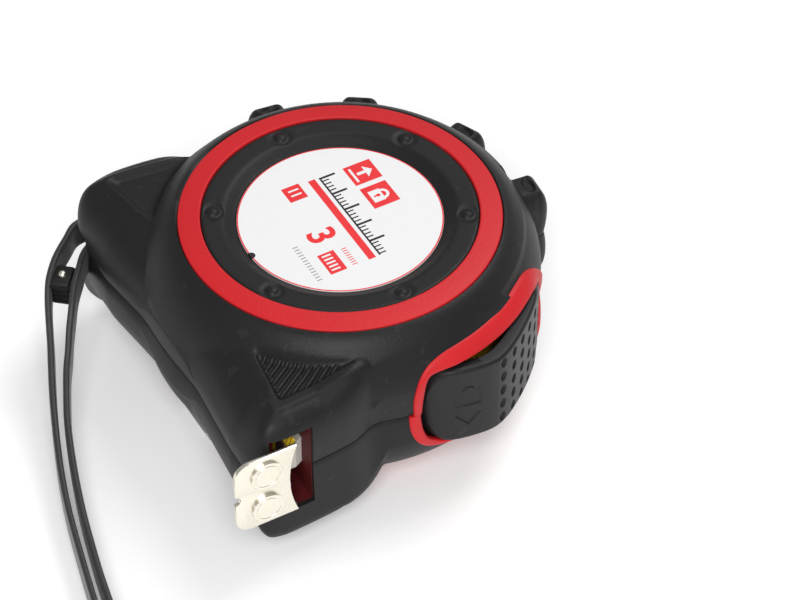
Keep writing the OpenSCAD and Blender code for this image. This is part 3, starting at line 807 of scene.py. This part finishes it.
def makeBackPlate():
    p = backPlan
    line = [(0.01, p["low"]), (p["rim"], p["low"]), (p["rim"], p["top"] - 0.4), (p["rim"] - 0.12, p["top"] - 0.12),
            (p["rim"] - 0.4, p["top"])]
    for k in range(p["grooves"]):
        r = p["rim"] - 1.6 - 1.5 * k
        line += [(r + 0.4, p["top"]), (r + 0.18, p["top"] - p["grooveDepth"]),
                 (r - 0.18, p["top"] - p["grooveDepth"]),
                 (r - 0.4, p["top"])]
    line += [(14.0, p["top"]), (7.0, p["top"]), (3.5, p["top"]), (0.01, p["top"])]
    plate = lathe("backPlate", [(r, seamZ - h) for r, h in line], rubber, 160)
    cutters = [discPiece("centreCut", 0, 0, 2.8, -1, 7), discPiece("clipCutA", 4.5, 22, 1.05, -1, 7),
               discPiece("clipCutB", -4.5, 22, 1.05, -1, 7)]
    cutAway(plate, *cutters)
    drop(*cutters)
    return fairShade(plate, 42)


backPlate = makeBackPlate()
settle(backPlate, "case", "black_rubber")
print("rings and back plate made")


# ---- things that repeat, grown by Geometry Nodes and then made plain
def newTree(name, **inputs):
    tree = bpy.data.node_groups.new(name, "GeometryNodeTree")
    face = tree.interface
    face.new_socket("Geometry", in_out="INPUT", socket_type="NodeSocketGeometry")
    for label, kind in inputs.items():
        face.new_socket(label, in_out="INPUT", socket_type="NodeSocket" + kind)
    face.new_socket("Geometry", in_out="OUTPUT", socket_type="NodeSocketGeometry")
    start = tree.nodes.new("NodeGroupInput")

    def add(kind, settings=None, **links):
        node = tree.nodes.new(kind)
        for key, value in (settings or {}).items():
            setattr(node, key, value)
        for key, value in links.items():
            socket = node.inputs[key.replace("_", " ")]
            if isinstance(value, bpy.types.NodeSocket):
                tree.links.new(value, socket)
            else:
                socket.default_value = value
        return node
    return tree, start.outputs, add


def closeTree(tree, add, geometry, material):
    real = add("GeometryNodeRealizeInstances", Geometry=geometry)
    painted = add("GeometryNodeSetMaterial", Geometry=real.outputs[0])
    painted.inputs["Material"].default_value = material
    end = tree.nodes.new("NodeGroupOutput")
    tree.links.new(painted.outputs[0], end.inputs[0])
    return tree


def grow(name, tree, values, material, slot, points=(), edges=()):
    mesh = bpy.data.meshes.new(name)
    mesh.from_pydata([tuple(float(v) * mm for v in p) for p in points], edges, [])
    mesh.materials.append(material)
    piece = bpy.data.objects.new(name, mesh)
    bpy.context.scene.collection.objects.link(piece)
    step = piece.modifiers.new("grow", "NODES")
    step.node_group = tree
    sockets = {s.name: s.identifier for s in tree.interface.items_tree
               if s.item_type == "SOCKET" and s.in_out == "INPUT"}
    for label, value in values.items():
        step[sockets[label]] = value
    bpy.context.view_layer.update()
    bake(piece)
    settle(fairShade(piece, 45), "case", slot)
    return piece


def studTree(material):
    # domes evenly round a circle
    tree, given, add = newTree("studRing", Count="Int", Circle="Float", Stud="Float", Height="Float")
    circle = add("GeometryNodeMeshCircle", Vertices=given["Count"], Radius=given["Circle"])
    dome = add("GeometryNodeMeshUVSphere", Segments=32, Rings=20, Radius=given["Stud"])
    spread = add("GeometryNodeInstanceOnPoints", Points=circle.outputs[0], Instance=dome.outputs[0])
    lift = add("ShaderNodeCombineXYZ", Z=given["Height"])
    moved = add("GeometryNodeTransform", Geometry=spread.outputs[0], Translation=lift.outputs[0])
    return closeTree(tree, add, moved.outputs[0], material)


def rowTree(material):
    # boxes in a straight row, each one step on from the last
    tree, given, add = newTree("blockRow", Count="Int", Start="Vector", Step="Vector", Size="Vector", Turn="Vector")
    line = add("GeometryNodeMeshLine", Count=given["Count"], Start_Location=given["Start"], Offset=given["Step"])
    block = add("GeometryNodeMeshCube", Size=given["Size"], Vertices_X=3, Vertices_Y=3, Vertices_Z=3)
    spread = add("GeometryNodeInstanceOnPoints", Points=line.outputs[0], Instance=block.outputs[0],
                 Rotation=given["Turn"])
    return closeTree(tree, add, spread.outputs[0], material)


def barTree(material):
    # a round bar along every line of a mesh
    tree, given, add = newTree("barsOnLines", Radius="Float")
    line = add("GeometryNodeMeshToCurve", Mesh=given["Geometry"])
    section = add("GeometryNodeCurvePrimitiveCircle", Resolution=12, Radius=given["Radius"])
    bars = add("GeometryNodeCurveToMesh", Curve=line.outputs[0], Profile_Curve=section.outputs[0], Fill_Caps=True)
    return closeTree(tree, add, bars.outputs[0], material)


def noseRibLines():
    # where each rib runs across the floor of the nose pad
    a = math.radians(padPlan["ribAngle"])
    along = np.linspace(0, 60, 1200)
    points, edges = [], []
    for k in range(40):
        across = k * padPlan["ribPitch"]
        x, y = along * math.cos(a) - across * math.sin(a), along * math.sin(a) + across * math.cos(a)
        x, y = x - 10.0, y - 20.0
        good = (padInside(x, y, nosePad, padPlan["arc"], 0.8) > padPlan["ribClear"]) & (x > 0)
        if good.sum() < 24:
            continue
        t = np.linspace(along[good].min(), along[good].max(), 14)
        x, y = np.interp(t, along, x), np.interp(t, along, y)
        z = gripHeight(x, y, "front", True) + 0.03
        z[0] -= 0.2
        z[-1] -= 0.2
        start = len(points)
        points += list(zip(x, y, z))
        edges += [(start + i, start + i + 1) for i in range(len(x) - 1)]
    return points, edges


noseRibs = grow("noseRibs", barTree(rubber), {"Radius": padPlan["ribRadius"] * mm}, rubber, "black_rubber",
                *noseRibLines())
print("nose ribs made", len(noseRibs.data.polygons))


# ---- label surround with its six studs
surroundPlan = {"studs": 6, "circle": 22.2, "stud": 1.45, "studHeight": 15.95, "dish": 0.28}


def makeSurround():
    profile = [(18.16, 14.6), (18.16, 15.5), (18.22, 15.62), (18.45, 15.72), (18.9, 15.98), (19.5, 16.36),
               (20.1, 16.72), (20.45, 16.87),
               (20.8, 16.95), (21.3, 16.98), (22.2, 17.0), (23.2, 17.02), (23.8, 17.02), (24.1, 16.98),
               (24.25, 16.85), (24.33, 16.6),
               (24.33, 14.6)]
    fine = []
    for (r0, h0), (r1, h1) in zip(profile, profile[1:]):
        parts = max(1, int(abs(r1 - r0) / 0.16))
        fine += [(r0 + (r1 - r0) * k / parts, h0 + (h1 - h0) * k / parts) for k in range(parts)]
    fine.append(profile[-1])
    fine = np.array(fine)
    turn = np.linspace(0, 2 * math.pi, 360, endpoint=False)
    r, a = fine[:, 0][:, None], turn[None, :]
    x, y = r * np.cos(a), r * np.sin(a)
    z = seamZ + fine[:, 1][:, None] + 0 * a
    for k in range(surroundPlan["studs"]):
        b = 2 * math.pi * k / surroundPlan["studs"]
        away = np.hypot(x - surroundPlan["circle"] * math.cos(b), y - surroundPlan["circle"] * math.sin(b))
        top = fine[:, 1][:, None] > 16.5
        z = z - surroundPlan["dish"] * np.exp(-((away - 1.5) / 0.42) ** 2) * top
    points = np.stack([x, y, z], -1).reshape(-1, 3)
    piece = makePiece("labelSurround", points, gridFaces(len(fine), 360, True, True), rubber)
    return fairShade(piece, 60)


labelSurround = makeSurround()
settle(labelSurround, "case", "black_rubber", "label_surround")
grow("labelStuds", studTree(rubber), {
    "Count": surroundPlan["studs"], "Circle": surroundPlan["circle"] * mm, "Stud": surroundPlan["stud"] * mm,
    "Height": (seamZ + surroundPlan["studHeight"]) * mm}, rubber, "black_rubber")
print("label surround made")


# ---- printed label: bars, ticks and plain signs
labelPlan = {"radius": 18.1, "low": 15.45, "top": 15.75, "paper": (0.80, 0.80, 0.805), "red": (0.72, 0.022, 0.028),
             "ink": (0.012, 0.011, 0.014),
             "grey": (0.35, 0.33, 0.36)}
g = Graph("labelPrint")
px, py, pz = g.axes()


def inBox(x, y, x0, x1, y0, y1):
    return (x > x0) * (x < x1) * (y > y0) * (y < y1)


def inDisc(x, y, cx, cy, radius):
    return ((x - cx) ** 2.0 + (y - cy) ** 2.0) < radius * radius


def both(a, b):
    return a.maths("MAXIMUM", a, b)


def tickRow(x, y, x0, x1, low, high, pitch, share):
    along = (x - x0) / pitch
    part = along.maths("FRACT", along)
    return (part < share) * inBox(x, y, x0, x1, low, high)


redParts = inBox(px, py, -10.85, 11.55, -0.62, 0.75)
for area in ((-10.8, -5.7, 6.3, 11.65), (-4.6, 1.0, 6.35, 11.5), (-11.3, -7.5, -5.75, -2.3), (6.4, 11.6, -8.1, -4.9)):
    redParts = both(redParts, inBox(px, py, *area))
redParts = both(redParts, tickRow(px, py, 6.9, 11.7, -3.7, -2.7, 0.6, 0.34))
redParts = both(redParts, abs(((px ** 2.0 + py ** 2.0) ** 0.5) - 17.95) < 0.12)
signs = inBox(px, py, -10.1, -6.4, 7.0, 7.45)                                  # pull sign: a bar with an arrow over it
signs = both(signs, inBox(px, py, -8.6, -7.9, 7.9, 9.6))
arrowTop = (py > 9.5) * (py < 10.9) * (abs(px + 8.25) < (10.9 - py) * 1.05)
signs = both(signs, arrowTop)
body = inBox(px, py, -3.3, -0.3, 7.2, 9.4)                                     # padlock sign
shackle = inDisc(px, py, -1.8, 9.4, 1.25) * (py > 9.3) * (1 - inDisc(px, py, -1.8, 9.4, 0.7))
signs = both(signs, both(body, shackle))
signs = both(signs, inBox(px, py, -10.3, -9.9, -4.9, -2.9))                     # two plain bars
signs = both(signs, inBox(px, py, -9.1, -8.7, -4.9, -2.9))
signs = both(signs, tickRow(px, py, 6.9, 11.4, -7.5, -5.8, 0.9, 0.45))
keyhole = both(inDisc(px, py, -1.8, 8.6, 0.38), inBox(px, py, -1.98, -1.62, 7.7, 8.6))
redParts = both(redParts * (1 - signs), keyhole)
inkParts = tickRow(px, py, -10.7, 11.4, 1.45, 3.0, 0.9, 0.34)
inkParts = both(inkParts, tickRow(px, py, -10.7, 11.4, 1.45, 4.6, 4.5, 0.11))
inkParts = both(inkParts, inBox(px, py, -10.7, 11.4, 1.45, 1.8))
inkParts = both(inkParts, inDisc(px, py, 0.7, -17.9, 0.75))
greyParts = tickRow(px, py, 2.6, 11.9, -10.9, -9.9, 0.75, 0.35)
fibre = g.noise(500.0, 3.0)
paper = g.mix(fibre, labelPlan["paper"], (0.76, 0.76, 0.765))
tone = g.mix(redParts, paper, g.mix(fibre, labelPlan["red"], (0.78, 0.03, 0.035)))
tone = g.mix(inkParts, tone, labelPlan["ink"])
tone = g.mix(greyParts, tone, labelPlan["grey"])
labelPrint = g.finish({"Base Color": tone, "Roughness": fibre * 0.1 + 0.24 + redParts * 0.05,
                       "Normal": g.bump(fibre, 0.04, 0.0001),
                       "Specular IOR Level": 0.5})
p = labelPlan
label = lathe("frontLabel", [(0.01, seamZ + p["low"]), (p["radius"], seamZ + p["low"]),
                             (p["radius"], seamZ + p["top"] - 0.05),
                             (p["radius"] - 0.06, seamZ + p["top"]), (9.0, seamZ + p["top"]),
                             (0.01, seamZ + p["top"])], labelPrint, 180)
settle(label, "case", "label", "front_label")


def inkFinish(name, colour):
    look = Graph(name)
    speck = look.noise(900.0, 2.0)
    return look.finish({"Base Color": look.mix(speck, colour, tuple(c * 1.15 for c in colour)),
                        "Roughness": speck * 0.1 + 0.28})


def numeral(name, text, size, centre, turn, material, thick):
    # a flat numeral, made a mesh before it is placed
    curve = bpy.data.curves.new(name, "FONT")
    curve.body = text
    curve.size = size * mm
    curve.extrude = thick * mm
    curve.offset = size * mm * 0.022
    curve.align_x = "CENTER"
    curve.align_y = "CENTER"
    source = bpy.data.objects.new(name + "Text", curve)
    bpy.context.scene.collection.objects.link(source)
    bpy.context.view_layer.update()
    mesh = bpy.data.meshes.new_from_object(source.evaluated_get(bpy.context.evaluated_depsgraph_get()))
    drop(source)
    mesh.transform(Matrix.Translation(Vector(centre) * mm) @ turn)
    mesh.materials.clear()
    mesh.materials.append(material)
    piece = bpy.data.objects.new(name, mesh)
    bpy.context.scene.collection.objects.link(piece)
    return fairShade(piece, 30)


redInk = inkFinish("redInk", (0.72, 0.022, 0.028))
blackInk = inkFinish("blackInk", (0.015, 0.015, 0.016))
sizeNumeral = numeral("lengthNumeral", "3", 7.0, (2.3, -5.2, seamZ + p["top"] + 0.015), Matrix.Identity(4), redInk,
                      0.015)
settle(sizeNumeral, "case", "label")
print("label made")


# ---- lock button: a crested thumb pad with dimples, on a body of its own
buttonPlan = {"angle": 24.5, "half": 8.6, "lowEnd": -16.0, "highEnd": 17.0, "deep": 2.4, "edge": 0.75,
              "dimpleStart": (-4.5, 6.1), "dimplePitch": (3.42, 3.35), "dimples": (6, 5),
              "dimpleSize": (0.78, 1.12), "depth": 0.55}
buttonLine = ((-3.6, 34.25), (-3, 34.4), (1, 35.6), (6, 36.9), (12, 38.1), (15.2, 38.55), (17, 38.6), (19, 38.5),
              (23, 38.1),
              (31, 37.2), (40, 36.4), (47, 35.7), (51, 35.3), (53.5, 35.0))


def makeButton():
    b = buttonPlan
    turned = [(r * math.cos(math.radians(a - b["angle"])), r * math.sin(math.radians(a - b["angle"]))) for a,
              r in buttonLine]
    line, _ = throughPoints([(s, o, 0) for o, s in turned], 400)
    side = b["lowEnd"] + (b["highEnd"] - b["lowEnd"]) * (0.5 - 0.5 * np.cos(np.linspace(0, math.pi, 250))) * 0.25 \
        + (b["highEnd"] - b["lowEnd"]) * np.linspace(0, 1, 250) * 0.75
    lowPart = np.clip((b["lowEnd"] + 3.4 - side) / 3.4, 0, 1)
    highPart = np.clip((side - 9.3) / (b["highEnd"] - 9.3), 0, 1)
    half = b["half"] * (1 - lowPart ** 2.6) ** (1 / 2.6) * (1 - highPart ** 2.2) ** (1 / 2.0)
    half = np.maximum(half, 0.02)
    crest = np.interp(side, line[:, 0], line[:, 1])
    share = np.sin(np.linspace(-math.pi / 2, math.pi / 2, 150)) * 0.35 + np.linspace(-1, 1, 150) * 0.65
    s, w = np.meshgrid(side, share, indexing="ij")
    h = half[:, None] * w
    top = crest[:, None] + 0 * w
    inset = np.minimum(half[:, None] - np.abs(h), np.minimum(s - b["lowEnd"], (b["highEnd"] - s) * 0.8))
    t = np.clip(1 - inset / b["edge"], 0, 1)
    top = top - b["edge"] * (1 - np.sqrt(np.clip(1 - t * t, 0, 1)))
    for i in range(b["dimples"][0]):
        for j in range(b["dimples"][1]):
            ds = (s - b["dimpleStart"][0] - b["dimplePitch"][0] * i) / b["dimpleSize"][0]
            dh = (h - b["dimpleStart"][1] + b["dimplePitch"][1] * j + 0.25 * i - 0.6) / b["dimpleSize"][1]
            away = np.hypot(ds, dh)
            keep = step01(inset, 0.5, 1.1)
            top = top - b["depth"] * (1 - step01(away, 0.6, 1.05)) * keep
    lock = np.hypot((s + 10.9) / 1.0, (h - 3.2) / 1.0)                          # a sunk padlock sign and an arrow
    sign = (np.abs(s + 10.9) < 1.9) & (np.abs(h - 1.2) < 1.5)
    sign = sign | ((np.abs(lock - 1.25) < 0.32) & (h > 2.6))
    arrow = (np.abs(s + 10.9) < (h + 4.9) * 0.75) & (h < -2.3) & (h > -4.9)
    top = top - 0.22 * (sign | arrow)
    a = math.radians(b["angle"])
    rows, columns = s.shape
    outer = np.stack([top * math.cos(a) - s * math.sin(a), top * math.sin(a) + s * math.cos(a), seamZ + h], -1)
    base = crest[:, None] - b["deep"] + 0 * top
    inner = np.stack([base * math.cos(a) - s * math.sin(a), base * math.sin(a) + s * math.cos(a), seamZ + h], -1)
    faces = gridFaces(rows, columns, False, False)
    count = rows * columns
    border = [k for k in range(columns)] + [r * columns + columns - 1 for r in range(1, rows)] \
        + [(rows - 1) * columns + k for k in range(columns - 2, -1, -1)] + [r * columns for r in range(rows - 2, 0,
                                                                                                       -1)]
    innerBorder = inner.reshape(-1, 3)[border]
    middle = innerBorder.mean(0)
    points = np.vstack([outer.reshape(-1, 3), innerBorder, middle[None]])
    allFaces = faces.tolist()
    n = len(border)
    allFaces += [[border[k], border[(k + 1) % n], count + (k + 1) % n, count + k] for k in range(n)]
    allFaces += [[count + (k + 1) % n, count + k, count + n][::-1] for k in range(n)]
    return fairShade(makePiece("lockButton", points, allFaces, buttonPlastic), 50)


lockButton = makeButton()
settle(lockButton, "button", "black_plastic", "lock_button")
print("button made", len(lockButton.data.polygons))


# ---- hook: a bent plate with its tab under the blade, and two magnets on its face
hookPlan = {"inner": 36.5, "outer": 37.3, "half": 8.0, "low": -40.5, "corner": 3.0, "notch": 1.0, "tabRadius": 22.2,
            "tab": 0.6,
            "tabHalf": 6.0, "tabFrom": 32.4, "bladeAxis": -7.92, "bevel": 0.13}
magnetPlan = {"y": -34.6, "apart": 4.0, "radius": 3.0, "high": 0.5}


def makeHook():
    p = hookPlan
    outline = []
    for turn in np.radians(np.linspace(180, 0, 15)):                            # notch in the middle of the low edge
        outline.append((p["low"] + p["notch"] * math.sin(turn), p["notch"] * math.cos(turn)))
    for turn in np.radians(np.linspace(-90, 0, 12)):
        outline.append((p["low"] + p["corner"] + p["corner"] * math.sin(turn),
                        p["half"] - p["corner"] + p["corner"] * math.cos(turn)))
    for z in np.linspace(p["half"], -p["half"], 33):
        outline.append((p["bladeAxis"] - math.sqrt(p["tabRadius"] ** 2 - z * z), z))
    for turn in np.radians(np.linspace(0, -90, 12)):
        outline.append((p["low"] + p["corner"] + p["corner"] * math.sin(turn),
                        -p["half"] + p["corner"] - p["corner"] * math.cos(turn)))
    plate = prism("hookPlate", [(y, seamZ + z) for y, z in outline], p["inner"], p["outer"], "x", nickel)
    bevelled(plate, p["bevel"])
    spread = math.asin(p["tabHalf"] / p["tabRadius"])
    arc = np.linspace(-spread, spread, 25)
    inner, outer = p["tabRadius"], p["tabRadius"] + p["tab"]
    strip = [(p["bladeAxis"] - inner * math.cos(a), seamZ + inner * math.sin(a)) for a in arc]
    strip += [(p["bladeAxis"] - outer * math.cos(a), seamZ + outer * math.sin(a)) for a in arc[::-1]]
    # the tab is nickel like the hook; its darker spring-steel finish is painted shade inside the mouth
    tab = prism("hookTab", strip, p["tabFrom"], p["inner"] + 0.1, "x", springSteelAndTabShade)
    bevelled(tab, 0.08)
    return fairShade(plate, 40), fairShade(tab, 40)


def makeMagnets():
    p = magnetPlan
    top, r = p["high"], p["radius"]
    line = [(0.01, 0.0), (r, 0.0), (r, top - 0.12), (r - 0.12, top), (r - 0.55, top), (r - 0.62, top - 0.07),
            (r - 0.78, top - 0.07),
            (r - 0.85, top), (1.2, top), (0.01, top)]
    discs = [lathe("magnet", line, nickel, 96, (hookPlan["outer"], p["y"], seamZ + side * p["apart"]),
                   "x") for side in (1, -1)]
    return fairShade(joinPieces("hookMagnets", *discs), 40)


hookPlate, hookTab = makeHook()
settle(hookTab, "hook", "nickel")
for piece, node in ((hookPlate, "hook"), (makeMagnets(), "hook_magnets")):
    settle(piece, "hook", "nickel", node)
print("hook made")


# ---- blade: yellow coating with a printed scale, numerals laid round its hollow face
bladePlan = {"zero": 37.3, "half": 8.0, "hollow": 22.0, "numerals": 6, "size": 5.0, "lift": 0.07, "short": 2.2,
             "middle": 3.4, "long": 16.0}
g = Graph("bladePaint")
bx, by, bz = g.axes()
bladeAlong = (bx * -1.0) + bladePlan["zero"]
bladeEdge = (abs(bz + -seamZ) * -1.0) + bladePlan["half"]


def scaleLines(pitch, width, reach):
    part = (bladeAlong / pitch + 0.5).maths("FRACT", bladeAlong / pitch + 0.5)
    return (abs(part - 0.5) < width / pitch / 2) * (bladeEdge < reach)


coat = g.noise(420.0, 3.0)
drift = g.noise(45.0, 2.0)
onTail = (bz > seamZ - 8.1) * (by < -27.0)
marks = both(both(scaleLines(1.0, 0.16, bladePlan["short"]), scaleLines(5.0, 0.2, bladePlan["middle"])),
             scaleLines(10.0, 0.24, bladePlan["long"])) * onTail
tone = g.mix(drift, (0.78, 0.50, 0.018), (0.87, 0.60, 0.03))
tone = g.mix(marks, tone, (0.015, 0.015, 0.016))
bladePaint = g.finish({"Base Color": tone, "Roughness": coat * 0.12 + 0.3, "Normal": g.bump(coat, 0.08, 0.0001),
                       "Specular IOR Level": 0.5})


def makeScaleNumerals():
    p = bladePlan
    flat = []
    for k in range(1, p["numerals"] + 1):
        digit = numeral("digit", str(k), p["size"], (0, 0, 0), Matrix.Identity(4), blackInk, 0.012)
        for vertex in digit.data.vertices:
            along, across, up = (v / mm for v in vertex.co)
            turn = across / p["hollow"]
            r = p["hollow"] - up - p["lift"]
            vertex.co = Vector((p["zero"] - 10 * k + 2.4 - along, hookPlan["bladeAxis"] - r * math.cos(turn),
                                seamZ + r * math.sin(turn))) * mm
        flat.append(digit)
    return fairShade(joinPieces("scaleNumerals", *flat), 30)


scaleNumerals = makeScaleNumerals()
settle(scaleNumerals, "blade", "blade_paint")
print("blade scale made")


# ---- strap keeper with ribs round it, and its stud
keeperPlan = {"centre": (-26.4, -42.2, 17.6), "size": (5.0, 3.4, 5.2), "turn": -40.0, "ribs": 4, "ribPitch": 1.15,
              "ribHigh": 0.42,
              "ribProud": 0.14, "stud": 0.8}


def makeKeeper():
    p = keeperPlan
    half = [v / 2 for v in p["size"]]
    body = prism("keeperBody", [(-half[0], -half[1]), (half[0], -half[1]), (half[0], half[1]), (-half[0], half[1])],
                 -half[2], half[2], "z", rubber)
    bevelled(body, 0.55, 4)
    turn = Matrix.Translation(Vector(p["centre"]) * mm) @ Matrix.Rotation(math.radians(p["turn"]), 4, "Z")
    body.data.transform(turn)
    fairShade(body, 40)
    return body


keeper = makeKeeper()
settle(keeper, "case", "strap", "strap_keeper")
p = keeperPlan
keeperX, keeperY, keeperZ = p["centre"]
keeperRibs = grow("keeperRibs", rowTree(rubber), {
    "Count": p["ribs"], "Start": Vector((keeperX, keeperY, keeperZ - p["ribPitch"] * (p["ribs"] - 1) / 2)) * mm,
    "Step": Vector((0, 0, p["ribPitch"])) * mm,
    "Size": Vector((p["size"][0] + 2 * p["ribProud"], p["size"][1] + 2 * p["ribProud"], p["ribHigh"])) * mm,
    "Turn": Vector((0, 0, math.radians(p["turn"])))}, rubber, "strap")
r = p["stud"]
studLine = [(0.01, -r * 0.6)] + [(r * math.cos(a), r * math.sin(a)) for a in np.radians(np.linspace(-36, 84,
                                                                                                    14))] + [(0.01,
                                                                                                              r)]
keeperStud = lathe("keeperStud", studLine, nickel, 48,
                   (p["centre"][0], p["centre"][1], p["centre"][2] + p["size"][2] / 2))
settle(keeperStud, "case", "steel", "keeper_stud")
print("keeper made")


# ---- belt clip: one strip of steel, folded back under itself
clipPlan = {"half": 8.0, "thick": 1.0, "root": 18.0, "bend": 24.25, "rootZ": 3.0, "armZ": 0.5, "arm": -24.0,
            "lip": -30.0, "lift": 0.9,
            "screws": (4.5, 22.0), "corner": 4.0}


def makeClip():
    p = clipPlan
    bendRadius = (p["rootZ"] - p["armZ"]) / 2
    line = [(p["root"], p["rootZ"]), (p["root"] + 3, p["rootZ"])]
    line += [(p["bend"] + bendRadius * math.cos(a), (p["rootZ"] + p["armZ"]) / 2 + bendRadius * math.sin(a))
             for a in np.radians(np.linspace(90, -90, 15))]
    line += [(y, p["armZ"]) for y in np.linspace(p["bend"] - 4, p["arm"] + 2, 12)]
    line += [(p["arm"] + (p["lip"] - p["arm"]) * t, p["armZ"] + p["lift"] * math.sin(math.pi * t)) for t in np.linspace(0, 1, 9)]
    line = np.array(line)
    along = np.gradient(line, axis=0)
    along /= np.linalg.norm(along, axis=1)[:, None]
    side = np.stack([-along[:, 1], along[:, 0]], -1) * p["thick"] / 2
    outline = (line + side).tolist() + (line - side)[::-1].tolist()
    clip = prism("beltClip", outline, -p["half"], p["half"], "x", zinc)
    x, y = p["screws"]
    cutters = [discPiece("clipHoleA", x, y, 1.1, 1.6, 5), discPiece("clipHoleB", -x, y, 1.1, 1.6, 5),
               discPiece("clipHoleC", x, y, 2.0, -1, 1.6), discPiece("clipHoleD", -x, y, 2.0, -1, 1.6)]
    for side in (1, -1):                                                        # rounded corners of the tongue
        outline = [(side * 9.0, p["lip"] - 1), (side * 9.0, p["lip"] + p["corner"])]
        outline += [(side * (p["half"] - p["corner"] + p["corner"] * math.cos(a)),
                     p["lip"] + p["corner"] - p["corner"] * math.sin(a))
                    for a in np.radians(np.linspace(0, 90, 10))]
        outline.append((side * (p["half"] - p["corner"]), p["lip"] - 1))
        cutters.append(prism("clipCorner", outline, -1, 3, "z", zinc))
    cutAway(clip, *cutters)
    drop(*cutters)
    return fairShade(bevelled(clip, 0.14), 40)


beltClip = makeClip()
settle(beltClip, "case", "steel", "belt_clip")
print("belt clip made")


# ---- finishes of the parts that keep their own shape
# the mouth guide takes the lining's painted shade
partFinishes = ((nylon, ("spool", "spool_lid", "spool_washers", "brake_lever")), (liningPaintedShade, ("mouth_guide",)),
                (zinc, ("centre_post", "centre_screw", "lever_pin", "case_screws", "clip_screws", "strap_post",
                        "hook_rivets")),
                (springSteelAndTabShade, ("power_spring", "lever_spring")), (bladePaint, ("blade_coil", "blade_tail")),
                (brakeRubber, ("brake_pad",)))
for finish, names in partFinishes:
    for name in names:
        for slot in bpy.data.objects[name].material_slots:
            slot.material = finish
print("inner parts finished")


# ---- floor, light and world
floor = makePiece("floor", [(-3000, -3000, -0.3), (3000, -3000, -0.3), (3000, 3000, -0.3), (-3000, 3000, -0.3)],
                  [[0, 1, 2, 3]],
                  grainedFinish("paleFloor", {"grainScale": 400.0, "driftScale": 3.0, "dark": (0.86, 0.86, 0.86),
                                              "light": (0.9, 0.9, 0.9), "scuffFrom": 2.0, "scuffAmount": 0.0,
                                              "scuffTone": (0.9, 0.9, 0.9), "rough": 0.6, "roughDrift": 0.05,
                                              "bump": 0.02,
                                              "specular": 0.2, "sheen": 0.0}))
glow = floor.data.materials[0].node_tree.nodes["Principled BSDF"]       # lifts the floor to white
glow.inputs["Emission Color"].default_value = (1, 1, 1, 1)
glow.inputs["Emission Strength"].default_value = 0.16
world = bpy.data.worlds.new("studio")
world.use_nodes = True
world.node_tree.nodes["Background"].inputs[0].default_value = (1, 1, 1, 1)
world.node_tree.nodes["Background"].inputs[1].default_value = 0.36
bpy.context.scene.world = world
bpy.context.scene.view_settings.view_transform = "Standard"


def softLight(name, direction, distance, size, power):
    data = bpy.data.lights.new(name, "AREA")
    data.shape = "DISK"
    data.size = size
    data.energy = power
    lamp = bpy.data.objects.new(name, data)
    bpy.context.scene.collection.objects.link(lamp)
    aim = Vector(direction).normalized()
    lamp.location = aim * distance
    lamp.rotation_mode = "QUATERNION"
    lamp.rotation_quaternion = aim.to_track_quat("Z", "Y")


softLight("keyLight", (0.75, -0.45, 0.9), 0.8, 0.4, 4.2)
softLight("topLight", (-0.2, 0.6, 1.0), 0.8, 0.45, 2.8)
print("floor and lights made")
